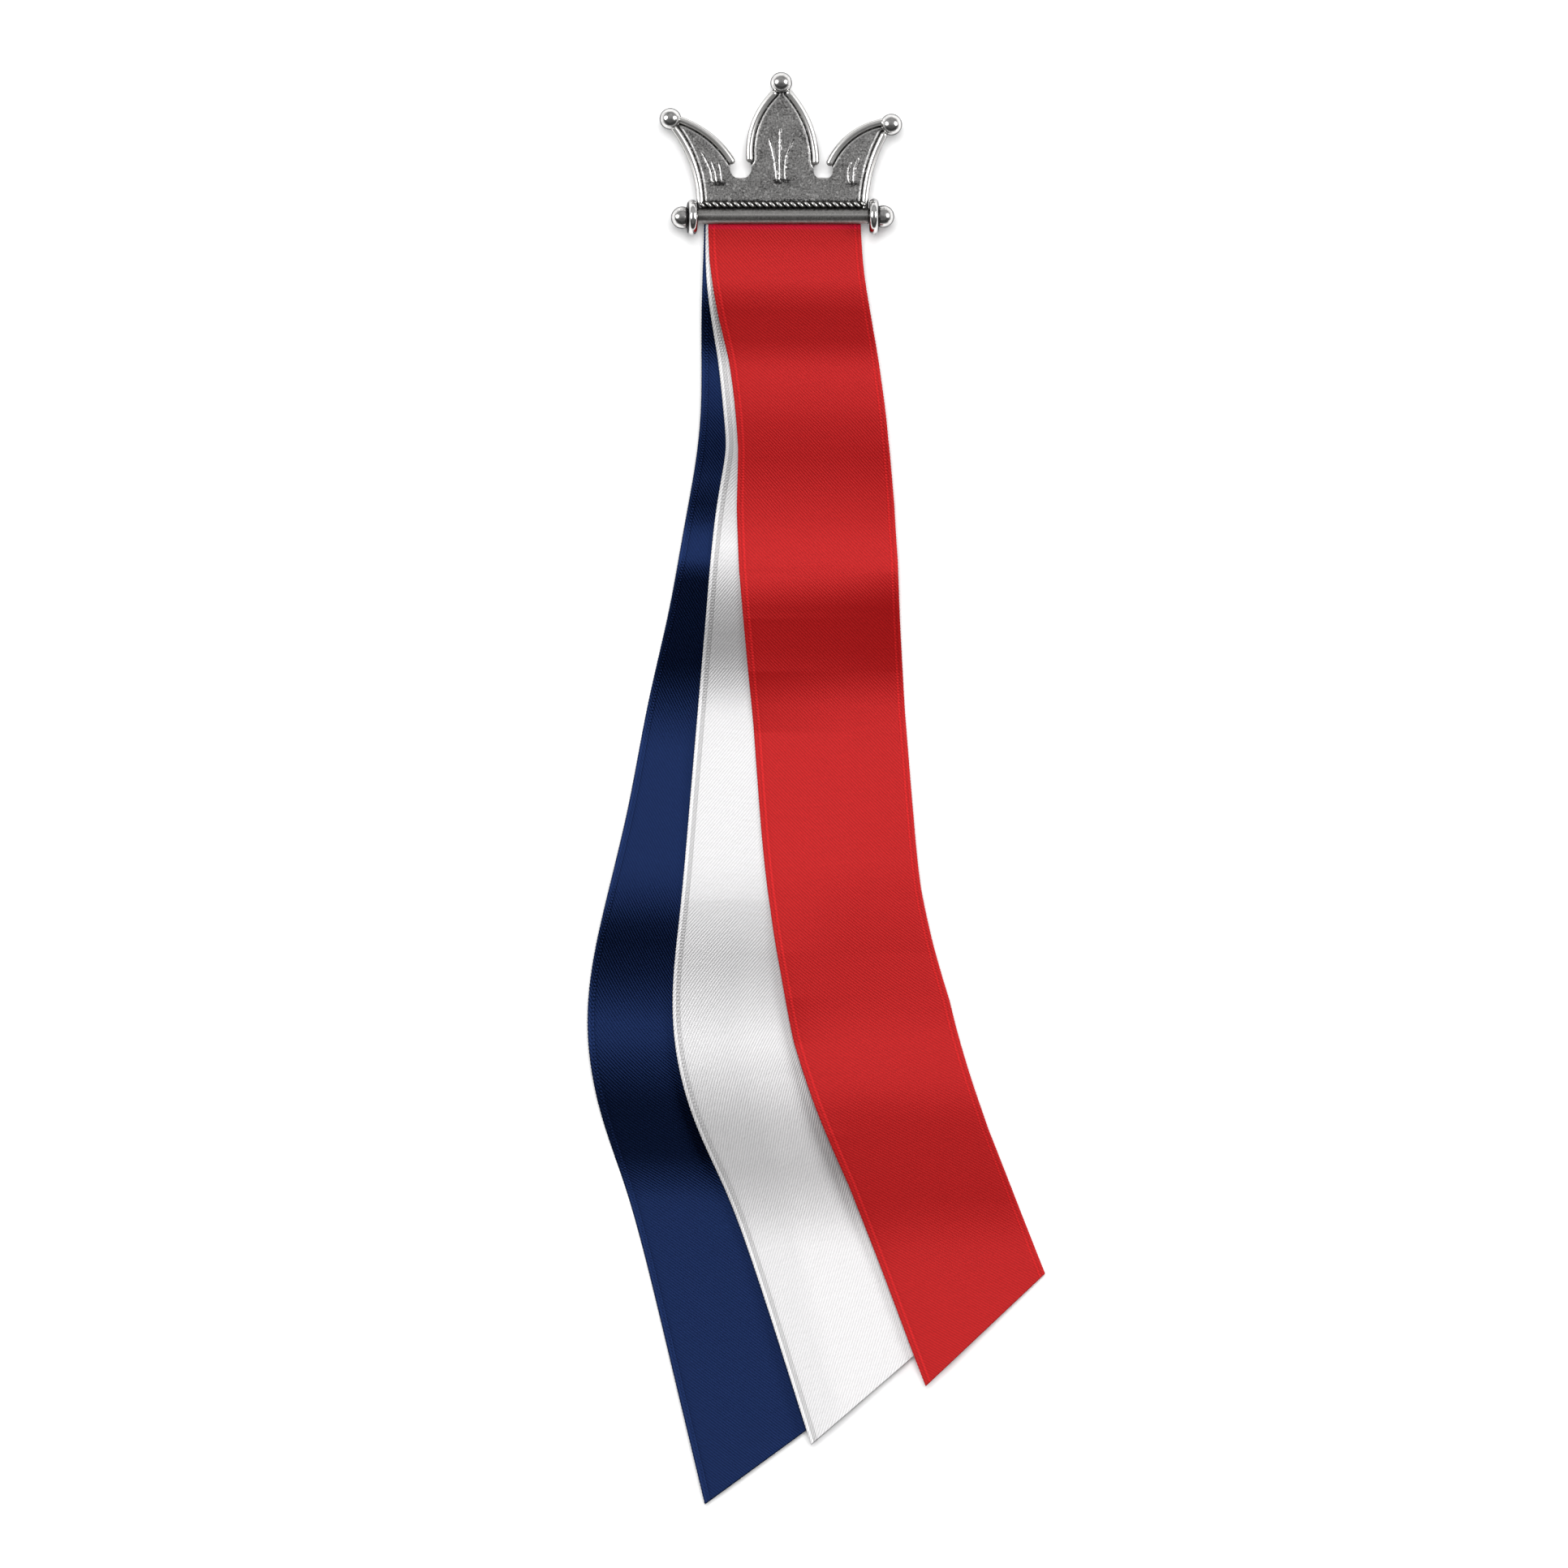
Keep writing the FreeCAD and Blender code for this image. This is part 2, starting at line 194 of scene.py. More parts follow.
# Middle line of each ribbon from its hidden top behind the tube to the middle of its cut: along, across,
# width
RED_LINE = [
    (1.5, 0.2, 20.0), (-5.0, 0.4, 20.1), (-11.0, 1.2, 19.8), (-17.0, 2.4, 19.4), (-23.0, 3.3, 19.5),
    (-30.0, 4.0, 19.8), (-38.0, 4.3, 20.7), (-46.0, 4.7, 20.9), (-54.0, 5.2, 20.5), (-66.0, 6.1, 20.0),
    (-80.0, 7.2, 20.1), (-90.0, 8.3, 20.0), (-98.0, 9.8, 20.4), (-106.0, 11.7, 21.2), (-114.0, 14.1, 20.7),
    (-124.0, 17.9, 19.8), (-135.0, 22.2, 19.8), (-146.7, 26.7, 20.0),
]
WHITE_LINE = [
    (1.5, -0.1, 20.0), (-8.0, 0.0, 20.0), (-17.0, 1.3, 20.0), (-25.0, 2.2, 20.0), (-31.0, 2.5, 20.0),
    (-38.0, 1.5, 20.0), (-52.0, 0.0, 20.0), (-66.0, -1.2, 20.0), (-80.0, -2.4, 20.0), (-94.0, -3.7, 20.0),
    (-106.0, -4.4, 20.0), (-114.0, -2.8, 20.0), (-124.0, 1.5, 20.0), (-134.0, 5.3, 20.0),
    (-144.0, 8.6, 20.0), (-154.7, 12.0, 20.0),
]
BLUE_LINE = [
    (1.5, -0.3, 20.0), (-14.0, -0.7, 20.0), (-26.0, -0.8, 20.0), (-34.0, -1.6, 20.0), (-42.0, -3.0, 20.0),
    (-54.0, -5.2, 20.0), (-66.0, -7.9, 20.0), (-80.0, -10.6, 20.0), (-94.0, -13.9, 20.0),
    (-106.0, -15.7, 20.0), (-114.0, -14.7, 20.0), (-124.0, -11.5, 20.0), (-136.0, -8.1, 20.0),
    (-150.0, -4.7, 20.0), (-163.3, -1.5, 20.0),
]

# Underside of each ribbon at its top, and how the sheet then rises and falls: along, rise towards its end
# in degrees
TOP_HEIGHT = {"red": 2.94, "white": 2.64, "blue": 2.34}
RED_SLOPES = [
    (1.5, 0.0), (-0.5, 0.0), (-2.0, -1.0), (-6.5, 1.3), (-8.4, 1.4), (-10.3, -2.4), (-12.5, -5.7),
    (-14.3, -5.7), (-16.4, -5.3), (-19.9, 0.6), (-21.2, 1.0), (-25.0, -0.8), (-27.1, -2.4), (-29.8, -3.1),
    (-31.9, -3.3), (-39.9, 0.3), (-43.2, 3.0), (-45.3, 3.6), (-46.9, 1.5), (-51.7, -5.6), (-52.5, -5.3),
    (-57.1, -4.8), (-60.3, -3.0), (-64.5, 1.6), (-69.9, 3.4), (-84.9, 3.4), (-91.3, 0.8), (-97.7, -0.6),
    (-104.1, -0.5), (-109.5, 2.8), (-111.6, 2.4), (-113.7, 1.8), (-118.0, -2.9), (-119.6, -3.9),
    (-129.8, -4.6), (-131.9, -3.3), (-136.2, 0.9), (-139.4, 2.5), (-144.8, 3.6), (-175.0, 2.2),
]
WHITE_SLOPES = [
    (1.5, 0.0), (-0.5, 0.0), (-2.0, -1.0), (-6.5, 1.5), (-8.4, 1.3), (-10.3, -2.4), (-12.5, -5.5),
    (-14.3, -5.5), (-16.4, -4.7), (-19.9, 0.9), (-21.2, 1.3), (-25.0, -0.3), (-27.1, -1.8), (-29.8, -2.8),
    (-31.9, -3.0), (-39.9, 0.6), (-43.2, 3.1), (-50.6, -3.5), (-54.9, -5.6), (-57.1, -5.3), (-61.3, -2.2),
    (-65.6, 2.0), (-67.8, 2.6), (-70.4, 3.1), (-84.9, 2.8), (-91.3, 0.6), (-98.8, -0.9), (-105.2, 0.4),
    (-108.4, 1.2), (-110.5, 0.8), (-120.2, -4.5), (-125.5, -5.0), (-130.9, -1.6), (-136.2, 3.1),
    (-142.6, 3.7), (-175.0, 3.1),
]
BLUE_SLOPES = [
    (1.5, 0.0), (-0.5, 0.0), (-2.0, -1.0), (-6.5, 1.5), (-8.4, 1.3), (-10.3, -2.4), (-12.5, -5.5),
    (-14.3, -5.5), (-16.4, -4.7), (-19.9, 0.9), (-21.2, 1.3), (-25.0, -0.3), (-27.1, -1.8), (-29.8, -2.8),
    (-31.9, -3.0), (-34.6, -1.9), (-37.8, -3.6), (-39.9, -1.7), (-42.1, 3.0), (-44.2, 5.7), (-46.4, -1.7),
    (-48.0, -4.7), (-50.6, -5.0), (-52.8, -5.0), (-57.1, -5.3), (-59.2, -5.2), (-67.8, 1.7), (-71.0, 5.1),
    (-84.9, 5.2), (-87.0, 2.9), (-93.4, -3.5), (-95.6, -4.1), (-99.8, -2.7), (-106.3, 1.0), (-108.4, 0.6),
    (-117.0, -5.5), (-121.2, -5.9), (-123.4, -5.7), (-129.8, 1.6), (-131.9, 2.1), (-153.3, 2.4),
    (-175.0, 2.6),
]
# How far a ribbon stands off that height across its width, in millimetres: along, left edge, place of the
# bend over the ribbon under it as a share of the half width, bend, right edge
RED_TILT = [
    (1.5, 0.0, 0.8, 0.0, 0.0), (-4.0, 0.0, 0.8, 0.0, 0.0), (-30.0, 0.19, 0.8, 0.15, 0.12),
    (-47.0, 0.29, 0.6, 0.17, -0.03), (-53.0, 0.5, 0.5, 0.14, -0.26), (-60.0, 0.5, 0.4, 0.05, -0.5),
    (-68.0, 0.1, 0.3, 0.0, -0.6), (-80.0, 0.1, 0.1, 0.0, -0.9), (-90.0, 0.2, -0.15, 0.05, -1.2),
    (-97.0, 0.4, -0.3, 0.1, -1.3), (-103.0, 0.4, -0.4, 0.15, -1.3), (-109.0, 0.15, -0.5, 0.2, -1.3),
    (-114.0, 0.2, -0.55, 0.25, -1.3), (-121.0, 0.5, -0.6, 0.3, -1.2), (-130.0, 0.5, -0.65, 0.3, -1.2),
    (-138.0, 0.3, -0.7, 0.3, -1.1), (-155.0, 0.3, -0.7, 0.3, -1.1),
]
WHITE_TILT = [
    (1.5, 0.0, 0.8, 0.0, 0.0), (-36.0, 0.0, 0.8, 0.0, -0.1), (-46.0, 0.1, 0.65, 0.0, -0.15),
    (-60.0, 0.1, 0.5, 0.0, -0.35), (-80.0, 0.2, 0.3, 0.1, -0.55), (-90.0, 0.25, 0.2, 0.12, -0.75),
    (-98.0, 0.2, 0.1, 0.05, -0.9),
    (-113.0, 0.2, -0.05, 0.0, -1.0), (-138.0, 0.1, -0.3, 0.05, -0.6), (-162.0, 0.1, -0.4, 0.1, -0.6),
]
BLUE_TILT = [
    (1.5, 0.0, 0.0, 0.0, 0.0), (-90.0, 0.0, 0.0, 0.0, 0.0), (-118.0, 0.1, 0.0, 0.1, 0.1),
    (-172.0, 0.1, 0.0, 0.1, 0.1),
]


def column(rows, along, which):
    """Straight-line value of one column of a table at many places; the first column falls row by row."""
    table = np.array(rows)[::-1]
    return np.interp(along, table[:, 0], table[:, which])


def eased(share):
    """Smooth step from 0 to 1."""
    share = np.clip(share, 0.0, 1.0)
    return share * share * (3.0 - 2.0 * share)


def wave(along, slopes):
    """Height of the waves: the tangent of the rise, summed from the ribbon's top to each place."""
    places = np.linspace(slopes[0][0], slopes[-1][0], 8000)
    rise = np.tan(np.radians(column(slopes, places, 1)))
    height = np.concatenate([[0.0], np.cumsum((rise[1:] + rise[:-1]) / 2 * -np.diff(places))])
    return np.interp(-along, -places, height)


def smooth_line(points, places):
    """Cubic curve through points, with even bend at every point, leaving straight down and ending along the
    last run. Its slopes at the points solve h1*m0 + 2*(h0 + h1)*m1 + h0*m2 = 3*(h1*d0 + h0*d1). Returns the
    curve's place and direction at many distances along it, and its whole length; past the end it goes on
    straight."""
    points = np.array(points, float)
    steps = np.linalg.norm(np.diff(points, axis=0), axis=1)
    runs = np.diff(points, axis=0) / steps[:, None]
    count = len(points)
    rule = np.eye(count)
    aim = np.zeros((count, 2))
    aim[0] = (0.0, -1.0)
    aim[-1] = runs[-1]
    inner = np.arange(1, count - 1)
    rule[inner, inner - 1] = steps[1:]
    rule[inner, inner] = 2 * (steps[:-1] + steps[1:])
    rule[inner, inner + 1] = steps[:-1]
    aim[inner] = 3 * (steps[1:, None] * runs[:-1] + steps[:-1, None] * runs[1:])
    slopes = np.linalg.solve(rule, aim)
    knots = np.concatenate([[0.0], np.cumsum(steps)])
    fine = np.linspace(0.0, knots[-1], 6000)
    span = np.clip(np.searchsorted(knots, fine, "right") - 1, 0, count - 2)
    width = steps[span][:, None]
    t = (fine[:, None] - knots[span][:, None]) / width
    curve = (
        (2 * t**3 - 3 * t**2 + 1) * points[span]
        + (t**3 - 2 * t**2 + t) * width * slopes[span]
        + (3 * t**2 - 2 * t**3) * points[span + 1]
        + (t**3 - t**2) * width * slopes[span + 1]
    )
    distance = np.concatenate([[0.0], np.cumsum(np.linalg.norm(np.diff(curve, axis=0), axis=1))])
    heading = np.gradient(curve, distance, axis=0)
    heading /= np.linalg.norm(heading, axis=1)[:, None]
    over = np.maximum(places - distance[-1], 0.0)
    place = np.stack([np.interp(places, distance, curve[:, k]) for k in (0, 1)], axis=-1)
    aimed = np.stack([np.interp(places, distance, heading[:, k]) for k in (0, 1)], axis=-1)
    aimed /= np.linalg.norm(aimed, axis=-1)[..., None]
    return place + aimed * over[..., None], aimed, distance[-1]


def ribbon_sheet(line, top, slopes, tilt, slant, shares):
    """Underside of a ribbon at a grid of rows along it and shares across it, from -1 at its left edge to 1
    at its right. A row is a straight line between its two edge points, which lie half the width either side
    of the middle line; near the cut the left one is taken further along and the right one less far. Its
    height is the top's, plus the wave at each point's own place along, plus the tilt, eased over the bend.
    Also returns how far along each point is."""
    points = [(x, y) for y, x, _ in line]
    _, _, length = smooth_line(points, np.zeros(1))
    reach = line[-1][2] / 2 * math.tan(math.radians(slant))
    distance = np.linspace(0.0, length, int(length / ROW_STEP))
    skew = reach * np.maximum(0.0, 1 - (length - distance) / CUT_RUN)
    edges = []
    for side in (-1, 1):
        middle, heading, _ = smooth_line(points, distance - side * skew)
        half = column(line, middle[:, 1], 2) / 2
        sideways = np.stack([-heading[:, 1], heading[:, 0]], axis=-1)
        edges.append(middle + sideways * (side * half)[:, None])
    left, right = edges
    share = (1 + shares[None, :]) / 2
    flat = left[:, None] * (1 - share)[..., None] + right[:, None] * share[..., None]
    x, y = flat[..., 0], flat[..., 1]
    bend_at = column(tilt, y, 2)
    bend, left_z, right_z = column(tilt, y, 3), column(tilt, y, 1), column(tilt, y, 4)
    before = (bend - left_z) / (bend_at + 1)
    after = (right_z - bend) / (1 - bend_at)
    away = shares - bend_at
    rounded = np.sqrt(away**2 + BEND_EASE**2) - BEND_EASE
    height = bend + (before + after) / 2 * away + (after - before) / 2 * rounded
    height = top + height + wave(y, slopes)
    along = distance[:, None] - shares[None, :] * skew[:, None]
    return np.stack([x, y, height], axis=-1), along


def shell(loops, ends="fan"):
    """Closed surface through loops of points, each loop joined to the next. The two ends are closed by a
    fan to their middle, folded shut like a flat sleeve, or joined to each other. Faces are turned to give a
    positive volume."""
    rows, ring, _ = loops.shape
    points = loops.reshape(-1, 3)
    index = np.arange(rows * ring).reshape(rows, ring)
    below = index if ends == "joined" else index[:-1]
    above = np.roll(index, -1, axis=0) if ends == "joined" else index[1:]
    quads = np.stack([below, np.roll(below, -1, 1), np.roll(above, -1, 1), above], axis=-1).reshape(-1, 4)
    triangles = np.zeros((0, 3), int)
    if ends == "fan":
        points = np.concatenate([points, loops[0].mean(axis=0)[None], loops[-1].mean(axis=0)[None]])
        start, finish = rows * ring, rows * ring + 1
        first, last = index[0], index[-1]
        triangles = np.concatenate([
            np.stack([np.full(ring, start), np.roll(first, -1), first], axis=-1),
            np.stack([np.full(ring, finish), last, np.roll(last, -1)], axis=-1),
        ])
    if ends == "sleeve":
        near, far = np.arange(ring // 2 - 1), ring - 1 - np.arange(ring // 2 - 1)
        first, last = index[0], index[-1]
        quads = np.concatenate([
            quads,
            np.stack([first[near], first[far], first[far - 1], first[near + 1]], axis=-1),
            np.stack([last[near], last[near + 1], last[far - 1], last[far]], axis=-1),
        ])
    corners = points[quads] - points.mean(axis=0)
    facing = np.cross(corners[:, 0] - corners[:, 2], corners[:, 1] - corners[:, 3])
    volume = (facing * corners.mean(axis=1)).sum()
    if volume < 0:
        quads, triangles = quads[:, ::-1], triangles[:, ::-1]
    return points, quads, triangles


def make(name, shells, material, cloth=None, marks=None, sharp=None, group="silver"):
    """One piece from closed shells given in millimetres from the clasp. Cloth is each point's place across
    and along, kept as a UV map; marks are named shares at each point; edges sharper than an angle in
    degrees are kept sharp."""
    before = np.cumsum([0] + [len(points) for points, _, _ in shells])
    points = np.concatenate([points for points, _, _ in shells])
    faces = [
        (faces + first).tolist()
        for (_, quads, triangles), first in zip(shells, before)
        for faces in (quads, triangles)
    ]
    mesh = bpy.data.meshes.new(name)
    mesh.from_pydata(((points + CLASP) * MM).tolist(), [], sum(faces, []))
    mesh.shade_smooth()
    if sharp is not None:
        mesh.set_sharp_from_angle(angle=math.radians(sharp))
    if cloth is not None:
        corners = np.empty(len(mesh.loops), np.int32)
        mesh.loops.foreach_get("vertex_index", corners)
        mesh.uv_layers.new(name="cloth").uv.foreach_set("vector", cloth[corners].ravel().astype(np.float32))
    for mark, shares in (marks or {}).items():
        layer = mesh.attributes.new(mark, "FLOAT", "POINT")
        layer.data.foreach_set("value", np.asarray(shares, np.float32).ravel())
    mesh.materials.append(material)
    piece = bpy.data.objects.new(name, mesh)
    scene.collection.objects.link(piece)
    lit[group].objects.link(piece)
    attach(piece, "root")
    return piece


TWILL_SCALE = 0.98  # wave texture's scale for twill lines 0.32 mm apart


def satin(name, colour, painted_shade_colour, shine, roughness, gloss, bands, twill):
    """Satin of one dye: a soft body with a fibre shine stretched across the floats, a fine slanted twill, a
    little unevenness along the weft, and finished edges in their own shades. Bands are places across in
    millimetres from the edge and their shades; twill is the slant of its lines in degrees. The colour given
    after the dye is painted shade, mixed in as far as the shade mark says."""
    material, tree, cloth = new_material(name)
    place = wire_up(tree, "UVMap", uv_map="cloth").outputs["UV"]
    split = wire_up(tree, "SeparateXYZ", {"Vector": place})
    turned = wire_up(tree, "Mapping", {"Vector": place, "Rotation": (0, 0, math.radians(twill))})
    lines = wire_up(
        tree,
        "TexWave",
        {
            "Vector": turned.outputs["Vector"],
            "Scale": TWILL_SCALE,
            "Distortion": 0.8,
            "Detail": 1.0,
            "Detail Scale": 2.0,
        },
        bands_direction="X",
    ).outputs["Fac"]
    stretched = wire_up(tree, "Mapping", {"Vector": place, "Scale": (0.35, 2.6, 1.0)})
    picks = wire_up(
        tree,
        "TexNoise",
        {"Vector": stretched.outputs["Vector"], "Scale": 1.0, "Detail": 3.0, "Roughness": 0.6},
    ).outputs["Fac"]
    grain = wire_up(tree, "TexNoise", {"Vector": place, "Scale": 3.2, "Detail": 2.0}).outputs["Fac"]
    inward = worked_out(tree, "SUBTRACT", HALF_WIDTH, worked_out(tree, "ABSOLUTE", split.outputs["X"]))
    tint = ramp(tree, inward, bands)
    weave = worked_out(tree, "MULTIPLY_ADD", lines, 0.3, 0.85)
    uneven = worked_out(tree, "MULTIPLY_ADD", picks, 0.14, 0.93)
    speck = worked_out(tree, "MULTIPLY_ADD", grain, 0.24, 0.88)
    shade = worked_out(tree, "MULTIPLY", worked_out(tree, "MULTIPLY", weave, uneven), speck)
    # Painted shade: the colour is mixed towards the shade colour as far as the shade mark says
    painted_shade_mark = wire_up(tree, "Attribute", attribute_name="painted_shade", attribute_type="GEOMETRY")
    dye = wire_up(
        tree,
        "Mix",
        {"Factor": painted_shade_mark.outputs["Fac"], "A": (*colour, 1.0), "B": (*painted_shade_colour, 1.0)},
        data_type="RGBA",
    ).outputs[2]
    dyed = wire_up(tree, "VectorMath", {0: dye, 1: tint}, operation="MULTIPLY").outputs["Vector"]
    shaded = wire_up(tree, "VectorMath", {0: dyed, "Scale": shade}, operation="SCALE")
    tree.links.new(shaded.outputs["Vector"], cloth.inputs["Base Color"])
    bump = wire_up(tree, "Bump", {"Strength": 0.6, "Distance": 0.000012, "Height": lines})
    tree.links.new(bump.outputs["Normal"], cloth.inputs["Normal"])
    across = wire_up(tree, "Tangent", direction_type="UV_MAP", uv_map="cloth")
    tree.links.new(across.outputs["Tangent"], cloth.inputs["Tangent"])
    cloth.inputs["Metallic"].default_value = shine
    cloth.inputs["Roughness"].default_value = roughness
    cloth.inputs["Anisotropic"].default_value = 1.0
    cloth.inputs["Specular IOR Level"].default_value = gloss
    return material


# Places across a ribbon where its grid has a column, close together in the finished edges
EDGE_COLUMNS = [
    0.0, 0.05, 0.18, 0.32, 0.4, 0.46, 0.6, 0.75, 0.85, 0.92, 1.0, 1.3, 2.0, 3.0, 4.2, 5.6, 7.0, 8.5,
]
from_edge = np.array(EDGE_COLUMNS)
ACROSS = np.concatenate([from_edge - HALF_WIDTH, [0.0], HALF_WIDTH - from_edge[::-1]])

# The finished edge, in millimetres: places from the edge, spreads and heights of the cord along it, of the
# ribbed band and of the groove beside that, and how far the loops stand out
CORD_INSET, CORD_SPREAD, CORD_RISE = 0.2, 0.16, 0.03
BAND_START, BAND_END, BAND_RISE = 0.42, 0.9, 0.02
SEAM_INSET, SEAM_SPREAD, SEAM_DEPTH = 0.94, 0.07, 0.03
LOOP_REACH = 0.05
THIN_RUN, THINNEST = 0.22, 0.12
# Painted shade: where it starts below the foot of the tube and how far it eases in, and how far the painted
# shade of a dark ribbon underneath eases across that ribbon's edge
TUBE_SHADE_END, TUBE_SHADE_RUN = -1.95, 0.5
UNDER_SHADE_RUN = 1.6


def ribbon(name, replaced, sheet, material, under=None):
    """Closed satin sheet between its top and its underside. Towards each edge the sheet thins, the
    outermost cord is scalloped into loops and the ribbed band beside it rises and falls at the same pitch.
    The shade mark is painted shade: how far a point lies on the left of the right edge of a dark ribbon
    underneath, which would show through, or else how near it is to the foot of the tube, where its shade
    falls."""
    low, along = ribbon_sheet(*sheet, ACROSS / HALF_WIDTH)
    inward = HALF_WIDTH - np.abs(ACROSS)
    loop = 0.5 + 0.5 * np.cos(2 * math.pi * np.arange(len(low)) / LOOP_ROWS)[:, None]
    cord = np.exp(-(((inward - CORD_INSET) / CORD_SPREAD) ** 2))[None, :]
    band = ((inward > BAND_START) & (inward < BAND_END))[None, :]
    seam = np.exp(-(((inward - SEAM_INSET) / SEAM_SPREAD) ** 2))[None, :]
    sideways = np.sign(ACROSS)[None, :] * (inward == 0.0)[None, :] * loop * LOOP_REACH
    thin = np.sqrt(np.clip(inward / THIN_RUN, THINNEST, 1.0))[None, :]
    high = low.copy()
    high[..., 2] += SATIN_THICKNESS * (1 + thin) / 2 + CORD_RISE * cord
    high[..., 2] += BAND_RISE * band * loop - SEAM_DEPTH * seam
    low[..., 2] += SATIN_THICKNESS * (1 - thin) / 2
    row_direction = low[:, -1:, :] - low[:, :1, :]
    row_direction = row_direction / np.linalg.norm(row_direction, axis=-1)[..., None]
    high += row_direction * sideways[..., None]
    low += row_direction * sideways[..., None]
    loops = np.concatenate([high, low[:, ::-1]], axis=1)
    around = np.broadcast_to(np.concatenate([ACROSS, ACROSS[::-1]]), loops.shape[:2])
    lengthwise = np.concatenate([along, along[:, ::-1]], axis=1)
    cloth = np.stack([around.ravel(), lengthwise.ravel()], axis=-1)
    # Painted shade near the foot of the tube, where its shade falls, or else over a dark ribbon underneath,
    # which shows through
    painted_shade = eased((loops[..., 1] - TUBE_SHADE_END) / TUBE_SHADE_RUN)
    if under is not None:
        edge, _ = ribbon_sheet(*under, np.array([1.0]))
        order = np.argsort(edge[:, 0, 1])
        hidden_edge = np.interp(loops[..., 1], edge[order, 0, 1], edge[order, 0, 0])
        painted_shade = np.clip((hidden_edge - loops[..., 0]) / UNDER_SHADE_RUN + 0.5, 0.0, 1.0)
    marks = {"painted_shade": painted_shade}
    piece = make(name, [shell(loops, "sleeve")], material, cloth, marks, group="cloth")
    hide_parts(replaced)
    return piece


red_sheet = (RED_LINE, TOP_HEIGHT["red"], RED_SLOPES, RED_TILT, 22.2)
white_sheet = (WHITE_LINE, TOP_HEIGHT["white"], WHITE_SLOPES, WHITE_TILT, 23.2)
blue_sheet = (BLUE_LINE, TOP_HEIGHT["blue"], BLUE_SLOPES, BLUE_TILT, 22.6)

# After the red's own colour comes a crimson painted shade for the foot of the tube
red_satin = satin(
    "red_satin", (0.473, 0.0098, 0.0108), (0.62, 0.0035, 0.03), 0.32, 0.45, 0.16,
    [
        (0.0, 1.1), (0.35, 1.1), (0.41, 0.88), (0.55, 0.98), (0.68, 1.32), (0.8, 1.32), (0.93, 0.92),
        (1.1, 1.0),
    ],
    40.0,
)
red_ribbon = ribbon("red_ribbon", "ribbon_red", red_sheet, red_satin)

# After the white's own colour comes a grey painted shade where the navy ribbon underneath shows through
white_satin = satin(
    "white_satin", (0.678, 0.67, 0.675), (0.638, 0.632, 0.638), 0.57, 0.45, 0.1,
    [(0.0, 1.2), (0.36, 1.2), (0.42, 0.74), (0.86, 0.78), (0.93, 0.55), (1.02, 1.0)], -35.0,
)
white_ribbon = ribbon("white_ribbon", "ribbon_white", white_sheet, white_satin, blue_sheet)

blue_satin = satin(
    "blue_satin", (0.0052, 0.0113, 0.04), (0.0052, 0.0113, 0.04), 0.96, 0.35, 0.1,
    [(0.0, 1.55), (0.3, 1.55), (0.4, 1.0), (0.7, 1.1), (0.8, 1.4), (0.87, 0.55), (1.0, 1.0)], 40.0,
)
blue_ribbon = ribbon("blue_ribbon", "ribbon_blue", blue_sheet, blue_satin)


# The crown's plate.
# A stamped silver plate, darkened and rubbed back: three lobes with a groove and a fine ridge inside their
# rims, short strokes cut with one gentle and one steep side, and sandy ground between them. The strokes
# carry a painted highlight on their gentle side and painted shade on their steep one. It is soldered
# to the tube at its foot.

TUBE_Z = 4.4
PLATE_FRONT_Z = 4.35
PLATE_BACK_Z = 3.45
PLATE_FOOT_Y = 0.5
TIP_BALLS = [(-14.80, 12.75), (-0.21, 17.49), (14.28, 12.00)]

# Crown outline as arcs through three points, clockwise round the plate
OUTLINE = {
    "left_side": [(-11.25, 1.00), (-12.25, 7.00), (-14.60, 11.30)],
    "left_top": [(-13.50, 13.00), (-9.75, 11.05), (-6.42, 7.40)],
    "left_notch": [(-6.42, 7.40), (-5.40, 4.85), (-4.74, 7.45)],
    "petal_left": [(-4.74, 7.45), (-4.20, 11.90), (-1.44, 16.36)],
    "petal_right": [(1.10, 16.40), (3.95, 11.55), (4.71, 7.11)],
    "right_notch": [(4.71, 7.11), (5.35, 4.73), (5.85, 7.15)],
    "right_top": [(5.85, 7.15), (8.75, 10.80), (13.00, 12.70)],
    "right_side": [(13.64, 10.43), (12.00, 6.46), (11.18, 1.00)],
}
RIMMED = ("left_side", "left_top", "petal_left", "petal_right", "right_top", "right_side")

# Groove and ridge inside the rims, by their distance from the edge, spread and height, the dish of the ground
# inside them, and the strokes' depth and two widths
GROOVE_INSET, GROOVE_SPREAD, GROOVE_DEPTH = 0.9, 0.1, 0.12
RIDGE_INSET, RIDGE_SPREAD, RIDGE_HEIGHT = 1.13, 0.11, 0.05
DISH_INSET, DISH_RUN, DISH_DEPTH = 1.2, 1.5, 0.06
STROKE_DEPTH, STROKE_LEFT, STROKE_RIGHT = 0.13, 0.22, 0.14

# Cut strokes, each as places from its top to its foot: across, along
STROKES = [
    [(-0.30, 11.86), (-0.33, 8.0), (-0.35, 4.67)],
    [(-1.87, 10.48), (-1.19, 7.97), (-0.76, 4.67)],
    [(1.59, 10.35), (0.59, 7.97), (0.46, 4.67)],
    [(-10.90, 8.61), (-9.68, 6.47), (-9.25, 4.44)],
    [(-9.51, 7.54), (-8.95, 6.0), (-8.61, 4.44)],
    [(-8.50, 7.43), (-8.15, 6.0), (-7.97, 4.44)],
    [(9.14, 7.54), (8.66, 5.72), (8.82, 4.33)],
    [(10.32, 8.29), (9.57, 6.47), (9.41, 4.33)],
]


def circle_through(points):
    """Middle and radius of the circle through three points: the middle is where the lines square to the two
    chords at their middles meet."""
    (ax, ay), (bx, by), (cx, cy) = points
    twice_area = 2 * (ax * (by - cy) + bx * (cy - ay) + cx * (ay - by))
    a, b, c = ax * ax + ay * ay, bx * bx + by * by, cx * cx + cy * cy
    x = (a * (by - cy) + b * (cy - ay) + c * (ay - by)) / twice_area
    y = (a * (cx - bx) + b * (ax - cx) + c * (bx - ax)) / twice_area
    return x, y, math.hypot(ax - x, ay - y)


